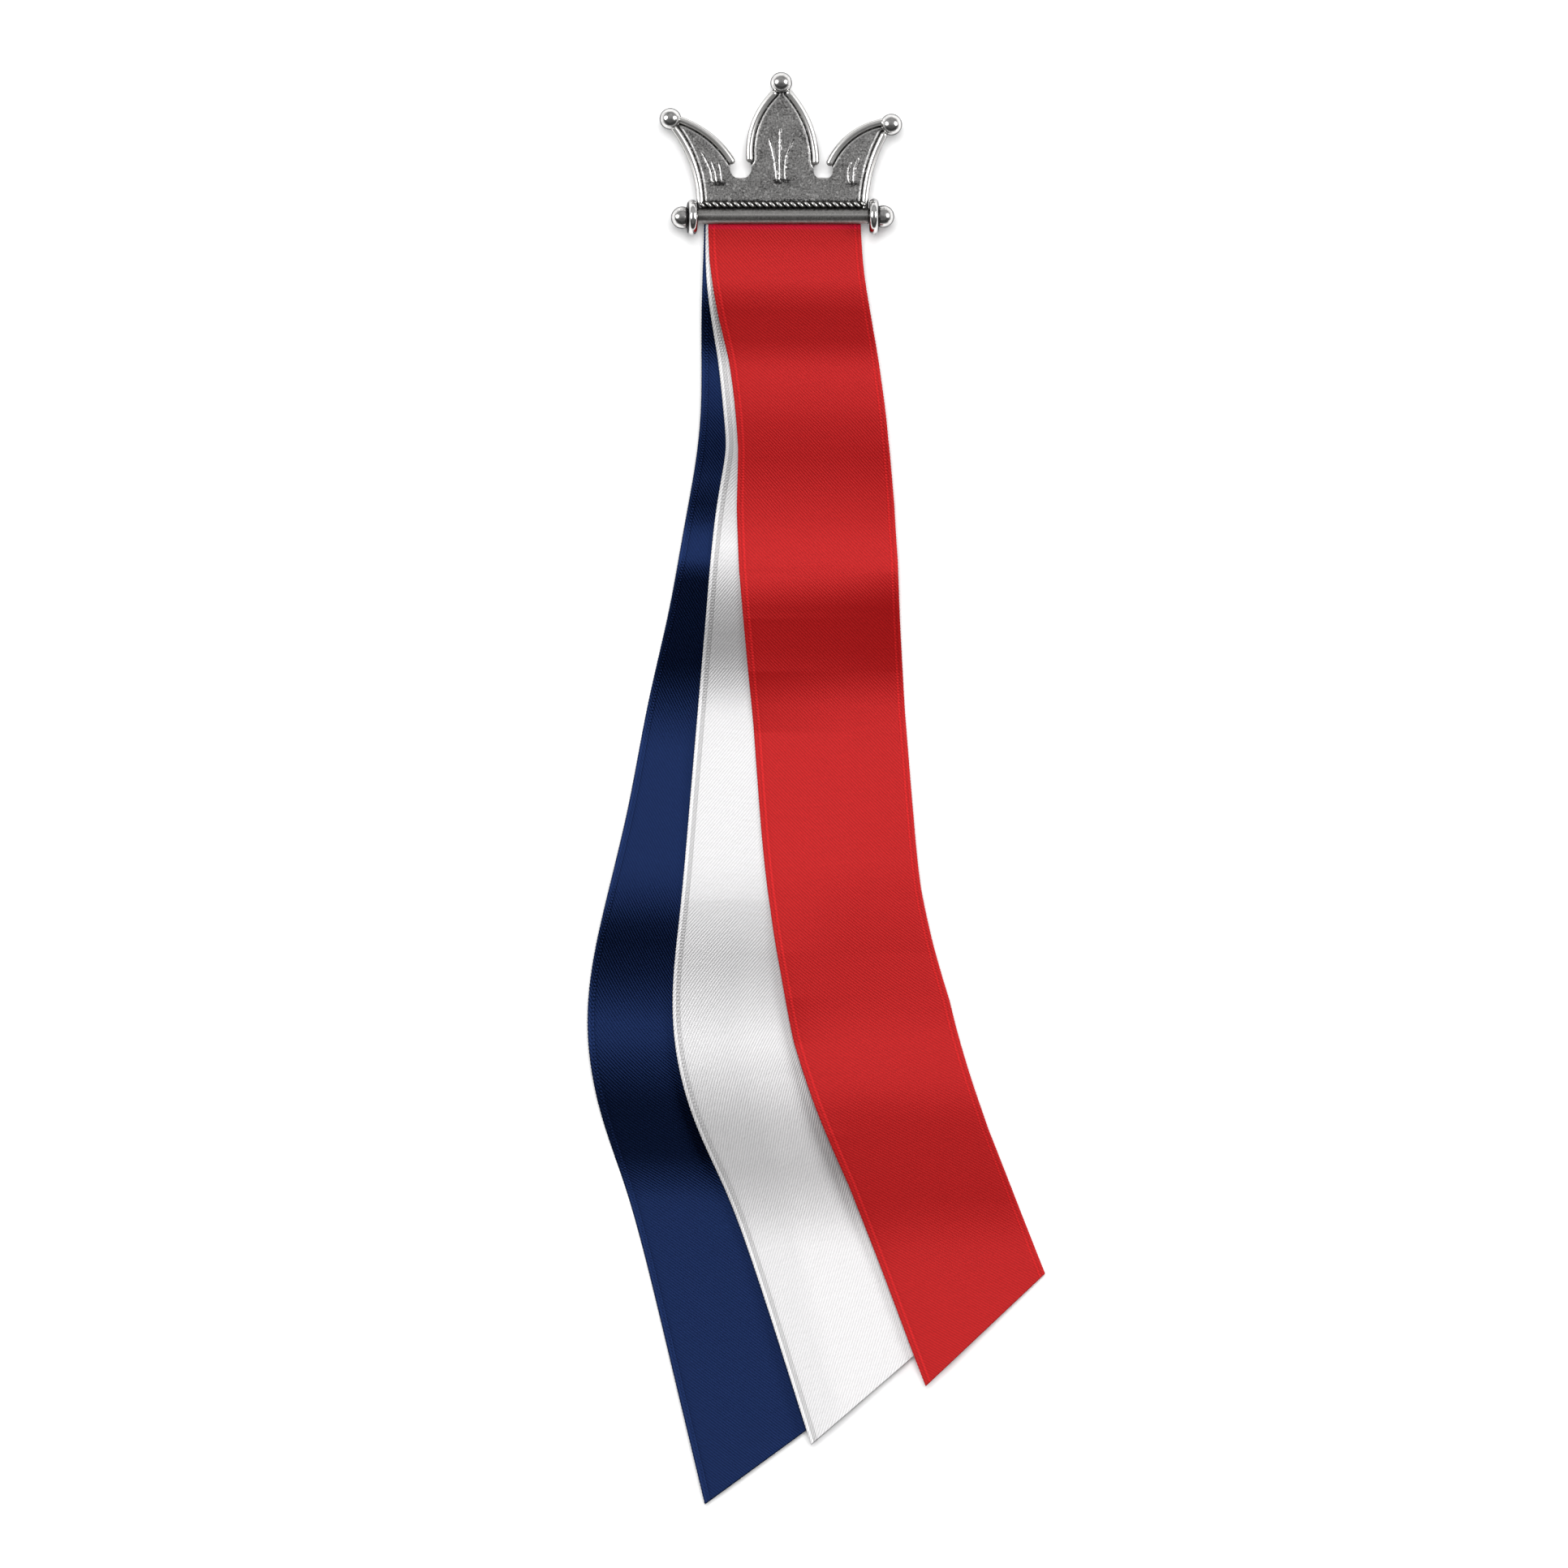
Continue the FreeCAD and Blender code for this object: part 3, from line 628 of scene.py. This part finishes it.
def arc(points, inset=0.0, count=61):
    """Places along the arc through three points, moved to the right of its direction by the inset."""
    x, y, radius = circle_through(points)
    start, middle, end = (math.atan2(py - y, px - x) for px, py in points)
    turn = (end - start) % (2 * math.pi)
    if (middle - start) % (2 * math.pi) > turn:
        turn -= 2 * math.pi
    angles = start + turn * np.linspace(0.0, 1.0, count)
    reach = radius + (inset if turn > 0 else -inset)
    return np.stack([x + reach * np.cos(angles), y + reach * np.sin(angles)], axis=-1)


def side_of(name, y):
    """Where the outline's named arc is across the crown, at each place along it."""
    places = arc(OUTLINE[name])
    order = np.argsort(places[:, 1])
    return np.interp(y, places[order, 1], places[order, 0])


def notch_side(name, y, side):
    """One side of a notch's circle, and its middle below the notch."""
    middle_x, middle_y, radius = circle_through(OUTLINE[name])
    half_chord = np.sqrt(np.clip(radius**2 - (y - middle_y) ** 2, 0.0, None))
    return middle_x + side * half_chord * (y > middle_y - radius)


def near_rim(x, y):
    """Distance of each place from the nearest rimmed edge, by straight runs between the arcs' places."""
    nearest = np.full(x.shape, 99.0)
    for name in RIMMED:
        places = arc(OUTLINE[name], 0.0, 33)
        for (ax, ay), (bx, by) in zip(places, places[1:]):
            length = (bx - ax) ** 2 + (by - ay) ** 2
            share = np.clip(((x - ax) * (bx - ax) + (y - ay) * (by - ay)) / length, 0.0, 1.0)
            nearest = np.minimum(nearest, np.hypot(x - ax - share * (bx - ax), y - ay - share * (by - ay)))
    return nearest


def relief(x, y):
    """Height of the plate's face over its ground, and how dark it is with oxide and painted light: a groove
    beside the rim with a fine ridge inside it, strokes whose floor rises gently to the left and steeply to
    the right, with a painted highlight on the gentle side and painted shade over the oxide on the steep one,
    and a dished ground."""
    edge = near_rim(x, y)
    groove = np.exp(-(((edge - GROOVE_INSET) / GROOVE_SPREAD) ** 2))
    ridge = np.exp(-(((edge - RIDGE_INSET) / RIDGE_SPREAD) ** 2))
    height = -GROOVE_DEPTH * groove + RIDGE_HEIGHT * ridge
    height = height - DISH_DEPTH * eased((edge - DISH_INSET) / DISH_RUN)
    oxide_and_painted_light = 0.68 + 0.32 * groove - 0.62 * ridge
    for stroke in STROKES:
        places = np.array(stroke)[::-1]
        bend = np.polyfit(places[:, 1], places[:, 0], 2)
        off = x - np.polyval(bend, y)
        depth = eased((places[-1, 1] - y) / 0.9) * eased((y - places[0, 1]) / 0.4 + 0.5)
        left = eased(1 + off / (STROKE_LEFT * (0.4 + 0.6 * depth))) * (off < 0)
        right = eased(1 - off / STROKE_RIGHT) * (off >= 0)
        height = height - STROKE_DEPTH * depth * (left + right)
        # Painted highlight on the gentle side of each stroke, and painted shade over the oxide on its steep
        # side
        painted_highlight = eased((left - 0.3) / 0.3) * (off < -0.04)
        oxide_and_painted_shade = eased(right / 0.4)
        oxide_and_painted_light = oxide_and_painted_light - 0.75 * depth * painted_highlight + 0.5 * depth * oxide_and_painted_shade
        oxide_and_painted_light = oxide_and_painted_light + 0.45 * np.exp(-((off / 0.45) ** 2) - (((y - places[0, 1] + 0.15) / 0.3) ** 2))
    for ball_x, ball_y in TIP_BALLS:
        oxide_and_painted_light = oxide_and_painted_light + 0.5 * eased((2.3 - np.hypot(x - ball_x, y - ball_y)) / 0.9)
    oxide_and_painted_light = oxide_and_painted_light + 0.5 * eased((2.3 - y) / 0.6)
    return height, np.clip(oxide_and_painted_light, 0.0, 1.0)


def lobe(left, right, rows, columns):
    """One lobe of the plate, ruled between its left and right edge at each row, with the relief on its face
    and a flat back. Returns its shell and, at its points, how dark they are with oxide and painted light."""
    share = np.linspace(0.0, 1.0, columns)
    x = left(rows)[:, None] * (1 - share) + right(rows)[:, None] * share
    y = np.broadcast_to(rows[:, None], x.shape)
    height, oxide_and_painted_light = relief(x, y)
    face = np.stack([x, y, PLATE_FRONT_Z + height], axis=-1)
    back = np.stack([x, y, np.full(x.shape, PLATE_BACK_Z)], axis=-1)
    loops = np.concatenate([face, back[:, ::-1]], axis=1)
    return shell(loops, "sleeve"), np.concatenate([oxide_and_painted_light, np.full(x.shape, 0.3)], axis=1).ravel()


def lobe_rows(top, notch_name, pitch=0.105):
    """Rows from the plate's foot to the lobe's top, close together round the bottom of its notch."""
    _, middle_y, radius = circle_through(OUTLINE[notch_name])
    round_bottom = middle_y - radius * np.cos(np.linspace(0.0, math.pi / 2, 14))
    return np.unique(np.concatenate([np.arange(PLATE_FOOT_Y, top, pitch), round_bottom, [top]]))


def inner_edge(notch, side, above):
    """Edge of a lobe beside a notch: one side of the notch, and over its end there the named arc."""
    end_y = OUTLINE[notch][0 if side < 0 else -1][1]
    return lambda y: np.where(y < end_y, notch_side(notch, y, side), side_of(above, y))


def outer_edge(below, corner, tip):
    """Outer edge of a side lobe: the named arc up to its corner, and a straight run on to the tip."""
    (corner_x, corner_y), (tip_x, tip_y) = corner, tip
    return lambda y: np.where(
        y < corner_y, side_of(below, y), np.interp(y, (corner_y, tip_y), (corner_x, tip_x))
    )


SIDE_COLUMNS = 92
PETAL_COLUMNS = 128
left_outer = outer_edge("left_side", OUTLINE["left_side"][-1], OUTLINE["left_top"][0])
right_outer = outer_edge("right_side", OUTLINE["right_side"][0], OUTLINE["right_top"][-1])
left_inner, petal_left = inner_edge("left_notch", -1, "left_top"), inner_edge("left_notch", 1, "petal_left")
petal_right = inner_edge("right_notch", -1, "petal_right")
right_inner = inner_edge("right_notch", 1, "right_top")
lobes = [
    lobe(left_outer, left_inner, lobe_rows(12.95, "left_notch"), SIDE_COLUMNS),
    lobe(petal_left, petal_right, lobe_rows(16.36, "left_notch"), PETAL_COLUMNS),
    lobe(right_inner, right_outer, lobe_rows(12.65, "right_notch"), SIDE_COLUMNS),
]


def silver(name, bright, dark, roughness, sand, grain, glint=0.0):
    """Silver with a dark oxide left where polishing didn't reach. Its mark sets the colour between bright and
    dark: the oxide, and on some pieces painted highlights and painted shade as well. It is broken up by a
    sandy grain and by a few small painted glints; the oxide is rougher, and the same grain stands up as fine
    bumps."""
    material, tree, metal = new_material(name)
    here = wire_up(tree, "TexCoord").outputs["Object"]
    in_mm = wire_up(tree, "Mapping", {"Vector": here, "Scale": (1 / MM, 1 / MM, 1 / MM)})
    place = in_mm.outputs["Vector"]
    coarse = wire_up(tree, "TexNoise", {"Vector": place, "Scale": grain, "Detail": 3.0, "Roughness": 0.7})
    patchy = wire_up(tree, "TexNoise", {"Vector": place, "Scale": 0.6, "Detail": 2.0})
    mark = wire_up(tree, "Attribute", attribute_name="oxide_and_painted_light", attribute_type="GEOMETRY")
    broken = worked_out(tree, "MULTIPLY_ADD", coarse.outputs["Fac"], 2.2 * sand, -1.1 * sand)
    cloudy = worked_out(tree, "MULTIPLY_ADD", patchy.outputs["Fac"], 0.5 * sand, -0.25 * sand)
    # A few small painted glints: sparse specks where the oxide is taken away so the silver looks brighter
    spots = wire_up(tree, "TexNoise", {"Vector": place, "Scale": 2.9, "Detail": 1.0}).outputs["Fac"]
    painted_glints = wire_up(
        tree,
        "MapRange",
        {"Value": spots, "From Min": 0.6, "From Max": 0.7, "To Min": 0.0, "To Max": -glint},
    ).outputs["Result"]
    oxide_and_painted_light = worked_out(tree, "ADD", mark.outputs["Fac"], painted_glints)
    # The mark holds the oxide and also painted highlights and painted shade
    oxide = worked_out(tree, "ADD", oxide_and_painted_light, worked_out(tree, "ADD", broken, cloudy))
    between = tuple(0.62 * b + 0.38 * d for b, d in zip(bright, dark))
    colour = ramp(tree, oxide, [(0.0, bright), (0.35, between), (1.0, dark)])
    tree.links.new(colour, metal.inputs["Base Color"])
    dull = wire_up(
        tree,
        "MapRange",
        {"Value": oxide, "To Min": roughness, "To Max": min(roughness + 0.25, 0.8)},
    ).outputs["Result"]
    tree.links.new(dull, metal.inputs["Roughness"])
    bump = wire_up(
        tree, "Bump", {"Strength": 0.5, "Distance": 0.00006 * sand, "Height": coarse.outputs["Fac"]}
    )
    tree.links.new(bump.outputs["Normal"], metal.inputs["Normal"])
    metal.inputs["Metallic"].default_value = 1.0
    metal.inputs["Specular Tint"].default_value = (0.45, 0.45, 0.46, 1.0)
    return material


plate_silver = silver("plate_silver", (0.84, 0.83, 0.82), (0.03, 0.029, 0.029), 0.34, 0.8, 4.2, 0.55)
crown_face = make(
    "crown_face",
    [solid for solid, _ in lobes],
    plate_silver,
    marks={"oxide_and_painted_light": np.concatenate([oxide_and_painted_light for _, oxide_and_painted_light in lobes])},
    sharp=50.0,
)
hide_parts("crown")


# The crown's rims.
# Half-round silver wire soldered along the outer edges of the three lobes and polished bright, with its
# ends rounded where it stops at the notches and at the balls.

RIM_RADIUS = 0.45
RIM_INSET = 0.38


def round_turn(count):
    """Even angles round a full turn."""
    return np.linspace(0, 2 * math.pi, count, endpoint=False)


def wire(path, radius, sides=20, cap=6):
    """Round wire along a path of points: a circle square to the path at each of them, and ends that close
    as a half ball, each cap circle shrinking by the cosine while it moves out by the sine."""
    ahead = np.gradient(path, axis=0)
    ahead /= np.linalg.norm(ahead, axis=1)[:, None]
    lift = np.where(np.abs(ahead[:, 2:]) > 0.9, [[0.0, 1.0, 0.0]], [[0.0, 0.0, 1.0]])
    across = np.cross(ahead, lift)
    across /= np.linalg.norm(across, axis=1)[:, None]
    rise = np.cross(across, ahead)
    angles = np.linspace(0, math.pi / 2 * 0.97, cap + 1)[1:]
    rows = np.concatenate([np.zeros(cap, int), np.arange(len(path)), np.full(cap, len(path) - 1)])
    out = np.concatenate([-np.sin(angles[::-1]), np.zeros(len(path)), np.sin(angles)])
    size = np.concatenate([np.cos(angles[::-1]), np.ones(len(path)), np.cos(angles)])
    around = round_turn(sides)
    sideways = across[rows][:, None] * np.cos(around)[None, :, None]
    ring = sideways + rise[rows][:, None] * np.sin(around)[None, :, None]
    middle = path[rows] + ahead[rows] * (out * radius)[:, None]
    return shell(middle[:, None] + ring * (size * radius)[:, None, None])


def flat_path(places, z):
    """Path at one height through places across and along."""
    return np.concatenate([places, np.full((len(places), 1), z)], axis=1)


def darkness_by_height(shells, low, high, least=0.0, most=1.0):
    """Darkness that goes from most at a low height to least at a high one, for every point of the shells."""
    z = np.concatenate([points[:, 2] for points, _, _ in shells])
    return least + (most - least) * (1 - eased((z - low) / (high - low)))


def neck_side(shells, start, end):
    """Extra tarnish towards the middle of the brooch, from none at one distance from it to full at a nearer
    one."""
    x = np.concatenate([points[:, 0] for points, _, _ in shells])
    return eased((start - np.abs(x)) / (start - end))


rim_silver = silver("rim_silver", (0.9, 0.89, 0.87), (0.05, 0.048, 0.045), 0.3, 0.25, 4.0)
rims = [wire(flat_path(arc(OUTLINE[name], RIM_INSET), PLATE_FRONT_Z), RIM_RADIUS) for name in RIMMED]
crown_rims = make(
    "crown_rims",
    rims,
    rim_silver,
    marks={"oxide_and_painted_light": darkness_by_height(rims, PLATE_FRONT_Z + 0.08, PLATE_FRONT_Z + 0.28, 0.02, 1.0)},
)
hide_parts("crown")


# The crown's balls.
# Solid silver balls soldered on the three tips, with dark solder round their feet, and one on each end of
# the tube. Their tops are painted a little darker, as painted shade.

TIP_BALL_RADIUS = 1.42
TIP_BALL_SINK = 0.2
END_BALL_RADIUS = 1.46
END_BALLS = [(-13.25, -0.25), (13.20, -0.10)]


def ball(x, y, z, radius):
    """Round ball: circles of the sine of their polar angle at the height of its cosine."""
    polar = np.linspace(0, math.pi, 42)[1:-1, None]
    around = round_turn(56)[None, :]
    upright = np.cos(polar) * np.ones_like(around)
    shape = np.stack([np.sin(polar) * np.cos(around), np.sin(polar) * np.sin(around), upright], axis=-1)
    return shell(np.array([x, y, z]) + radius * shape)


ball_silver = silver("ball_silver", (0.84, 0.83, 0.82), (0.04, 0.039, 0.038), 0.13, 0.5, 1.5)
tip_balls = [ball(x, y, PLATE_FRONT_Z - TIP_BALL_SINK, TIP_BALL_RADIUS) for x, y in TIP_BALLS]
end_balls = [ball(x, y, TUBE_Z, END_BALL_RADIUS) for x, y in END_BALLS]
crown_balls = make(
    "crown_balls",
    tip_balls + end_balls,
    ball_silver,
    marks={
        # Dark solder at the feet of the balls, and painted shade on their tops
        "oxide_and_painted_light": np.concatenate([
            darkness_by_height(tip_balls, PLATE_FRONT_Z + 0.1, PLATE_FRONT_Z + 0.5, 0.05, 1.0)
            + darkness_by_height(tip_balls, PLATE_FRONT_Z + 0.7, PLATE_FRONT_Z + 0.85, 0.22, 0.0),
            darkness_by_height(end_balls, TUBE_Z + 0.3, TUBE_Z + 0.7, 0.05, 1.0)
            + darkness_by_height(end_balls, TUBE_Z + 0.9, TUBE_Z + 1.05, 0.22, 0.0)
            + neck_side(end_balls, 12.9, 12.3),
        ])
    },
)
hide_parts("crown")


# The tube.
# A plain silver tube across the foot of the crown, over the tops of the ribbons. A thinner neck at each end
# carries a loose ring and is stopped by a ball. Along the tube run a painted shadow of the twisted wire on
# its upper side, a painted highlight line along its middle and a painted dark reflection band below that;
# its necks are dark with oxide.

TUBE_RADIUS = 1.1
TUBE_END = 11.35
NECK_RADIUS = 0.8
NECK_END = 13.1


def turned(profile, y, z, sides=64):
    """Round body turned about a line across the brooch, from a profile of places along the line and
    radii."""
    profile = np.array(profile)
    around = round_turn(sides)[None, :]
    radius = profile[:, 1:2]
    return shell(
        np.stack(
            [profile[:, :1] * np.ones_like(around), y + radius * np.cos(around), z + radius * np.sin(around)],
            axis=-1,
        )
    )


# From the tube's side round its end and into the neck: along the tube, radius
half_profile = [
    (TUBE_END - 0.35, TUBE_RADIUS), (TUBE_END - 0.12, TUBE_RADIUS), (TUBE_END - 0.03, TUBE_RADIUS - 0.04),
    (TUBE_END, TUBE_RADIUS - 0.12), (TUBE_END + 0.01, NECK_RADIUS + 0.05), (TUBE_END + 0.06, NECK_RADIUS),
    (NECK_END, NECK_RADIUS),
]
even_run = [(x, TUBE_RADIUS) for x in np.linspace(-TUBE_END + 0.6, TUBE_END - 0.6, 60)]
tube = [turned([(-x, r) for x, r in half_profile[::-1]] + even_run + half_profile, 0.0, TUBE_Z)]
tube_y = tube[0][0][:, 1]
tube_silver = silver("tube_silver", (0.76, 0.75, 0.73), (0.05, 0.046, 0.044), 0.26, 0.45, 3.5)
crown_tube = make(
    "crown_tube",
    tube,
    tube_silver,
    # Painted shadow of the twisted wire on the tube's upper side, a painted highlight line along its middle,
    # a painted dark reflection band just below it, and oxide on the necks
    marks={
        "oxide_and_painted_light": 0.44
        + 0.5 * eased((tube_y - 0.5) / 0.3)
        - 0.5 * np.exp(-(((tube_y - 0.08) / 0.09) ** 2))
        + 0.3 * np.exp(-(((tube_y + 0.3) / 0.2) ** 2))
        + 1.0 - neck_side(tube, TUBE_END + 0.2, TUBE_END)
    },
    sharp=50.0,
)
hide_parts("crown")


# The twisted wire.
# Two round silver wires twisted together and soldered along the joint between the tube and the plate. Its
# strands show as slanted beads, bright on top and dark in between.

STRAND_RADIUS = 0.26
STRAND_OFFSET = 0.23
TWIST_PITCH = 1.86
TWIST_HALF_LENGTH = 10.9
TWIST_Y = 1.46
TWIST_Z = PLATE_FRONT_Z + 0.42


def strand(start):
    """One wire of the twist: a helix about a line across the brooch."""
    x = np.linspace(-TWIST_HALF_LENGTH + 0.2, TWIST_HALF_LENGTH - 0.2, 290)
    angle = start + 2 * math.pi * x / TWIST_PITCH
    y = TWIST_Y + STRAND_OFFSET * np.cos(angle)
    z = TWIST_Z + STRAND_OFFSET * np.sin(angle)
    return wire(np.stack([x, y, z], axis=-1), STRAND_RADIUS, sides=12, cap=4)


strands = [strand(0.0), strand(math.pi)]
twist_points = np.concatenate([points for points, _, _ in strands])
from_middle = np.hypot(twist_points[:, 1] - TWIST_Y, twist_points[:, 2] - TWIST_Z)
twisted_wire = make(
    "twisted_wire",
    strands,
    rim_silver,
    marks={
        "oxide_and_painted_light": 1 - eased((from_middle - 0.36) / 0.1) + eased((TWIST_Z + 0.46 - twist_points[:, 2]) / 0.16)
    },
)
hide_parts("crown")


# The loose rings.
# A polished round ring of thick wire hangs on each neck of the tube; the left one has slid a little askew.

RING_MIDDLE_RADIUS = 1.76
RING_WIRE_RADIUS = 0.61
RING_SAG = 0.05
ROUND_RING, ROUND_WIRE = 96, 36  # points round the ring and round its wire


def ring(x, y, z, turn):
    """Round ring: circles of the wire's radius carried round a circle square to the tube, turned by some
    degrees."""
    sweep = round_turn(ROUND_RING)[:, None]
    around = round_turn(ROUND_WIRE)[None, :]
    reach = RING_MIDDLE_RADIUS + RING_WIRE_RADIUS * np.cos(around)
    off = RING_WIRE_RADIUS * np.sin(around) * np.ones_like(sweep)
    y_part = reach * np.cos(sweep)
    z_part = reach * np.sin(sweep)
    tilt = math.radians(turn)
    return shell(
        np.stack(
            [
                x + off * math.cos(tilt) + z_part * math.sin(tilt),
                y + y_part,
                z - off * math.sin(tilt) + z_part * math.cos(tilt),
            ],
            axis=-1,
        ),
        "joined",
    )


ring_silver = silver("ring_silver", (0.9, 0.89, 0.88), (0.05, 0.05, 0.05), 0.1, 0.25, 2.0)
# Darker on the sides of the ring's wire that face the ball and the tube
off_middle = np.abs(np.sin(round_turn(ROUND_WIRE)))
ring_side_darkening = 0.1 + 0.9 * eased((np.tile(off_middle, ROUND_RING) - 0.72) / 0.2)
for name, node, x, y, turn in (
    ("left_hoop", "ring_left", -11.95, -0.25, 5.5),
    ("right_hoop", "ring_right", 12.00, -0.10, 0.0),
):
    piece = make(name, [ring(x, y, TUBE_Z - RING_SAG, turn)], ring_silver, marks={"oxide_and_painted_light": ring_side_darkening})
    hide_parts(node)


# The pin.
# One bent wire behind the crown stands for the hidden fastening: two legs on soldered pads and the stem
# between them.

PIN_WIRE_RADIUS = 0.5
PIN_HALF_LENGTH = 8.0
STEM_HALF_LENGTH = 6.4
PIN_Y = 4.6
PIN_BEND_RADIUS = 1.2
PAD_RADIUS = 1.2
PAD_FOOT_Z = 2.95
PAD_TOP_Z = 3.35

quarter = np.linspace(0, math.pi / 2, 14)[1:]
leg = [(-PIN_HALF_LENGTH, z) for z in np.linspace(PAD_FOOT_Z + 0.2, PIN_WIRE_RADIUS + PIN_BEND_RADIUS, 8)]
corner = [
    (
        -PIN_HALF_LENGTH + PIN_BEND_RADIUS * (1 - math.cos(a)),
        PIN_WIRE_RADIUS + PIN_BEND_RADIUS * (1 - math.sin(a)),
    )
    for a in quarter
]
left_half = leg + corner
right_half = [(-x, z) for x, z in left_half[::-1]]
stem = [(x, PIN_WIRE_RADIUS) for x in np.linspace(-STEM_HALF_LENGTH, STEM_HALF_LENGTH, 20)]
pin_path = np.array([(x, PIN_Y, z) for x, z in left_half + stem + right_half])


def pad(x):
    """Round solder pad with a softened edge, its profile carried round an upright line."""
    profile = np.array([
        (0.6, PAD_FOOT_Z), (PAD_RADIUS - 0.08, PAD_FOOT_Z), (PAD_RADIUS, PAD_FOOT_Z + 0.08),
        (PAD_RADIUS, PAD_TOP_Z - 0.04), (PAD_RADIUS - 0.04, PAD_TOP_Z), (0.6, PAD_TOP_Z),
    ])
    around = round_turn(48)[None, :]
    reach = profile[:, :1]
    upright = profile[:, 1:] * np.ones_like(around)
    return shell(np.stack([x + reach * np.cos(around), PIN_Y + reach * np.sin(around), upright], axis=-1))


pin_shells = [wire(pin_path, PIN_WIRE_RADIUS, sides=24, cap=4), pad(-PIN_HALF_LENGTH), pad(PIN_HALF_LENGTH)]
pin_metal = silver("pin_metal", (0.62, 0.61, 0.60), (0.1, 0.1, 0.1), 0.28, 0.3, 3.0)
pin = make(
    "bent_pin",
    pin_shells,
    pin_metal,
    marks={"oxide_and_painted_light": darkness_by_height(pin_shells, 2.4, 3.2, 0.6, 0.15)},
    sharp=50.0,
)
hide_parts("brooch_pin")


# The sewing thread.
# Red thread whips the three raw tops together behind the plate's foot, one loop every couple of
# millimetres.

THREAD_RADIUS = 0.08
THREAD_Y, THREAD_Z = 1.15, 2.77
THREAD_SLANT, THREAD_REACH, THREAD_RISE = 0.35, 0.45, 0.51
ROUNDED_SQUARE = 0.45  # power that turns a circle into a square with rounded corners
sweep = round_turn(48)
side = np.sign(np.cos(sweep)) * np.abs(np.cos(sweep)) ** ROUNDED_SQUARE
rise = np.sign(np.sin(sweep)) * np.abs(np.sin(sweep)) ** ROUNDED_SQUARE
loops_of_thread = []
for x in np.linspace(-8.6, 9.0, 12):
    middle = np.stack(
        [x + THREAD_SLANT * side, THREAD_Y + THREAD_REACH * side, THREAD_Z + THREAD_RISE * rise], axis=-1
    )
    ahead = np.roll(middle, -1, 0) - np.roll(middle, 1, 0)
    ahead /= np.linalg.norm(ahead, axis=1)[:, None]
    across = np.cross(ahead, [1.0, -0.6, 0.0])
    across /= np.linalg.norm(across, axis=1)[:, None]
    rise_way = np.cross(across, ahead)
    around = round_turn(10)[None, :, None]
    tube_wall = across[:, None] * np.cos(around) + rise_way[:, None] * np.sin(around)
    loops_of_thread.append(shell(middle[:, None] + THREAD_RADIUS * tube_wall, "joined"))
thread_red, tree, spun = new_material("thread_red")
here = wire_up(tree, "TexCoord").outputs["Object"]
plies = wire_up(
    tree,
    "TexWave",
    {"Vector": here, "Scale": 1600.0, "Distortion": 1.5, "Detail": 1.0},
    bands_direction="DIAGONAL",
).outputs["Fac"]
twisted_red = ramp(tree, plies, [(0.0, (0.2, 0.008, 0.01)), (1.0, (0.5, 0.02, 0.024))])
tree.links.new(twisted_red, spun.inputs["Base Color"])
spun.inputs["Roughness"].default_value = 0.6
sewing = make("sewing_thread", loops_of_thread, thread_red, group="cloth")
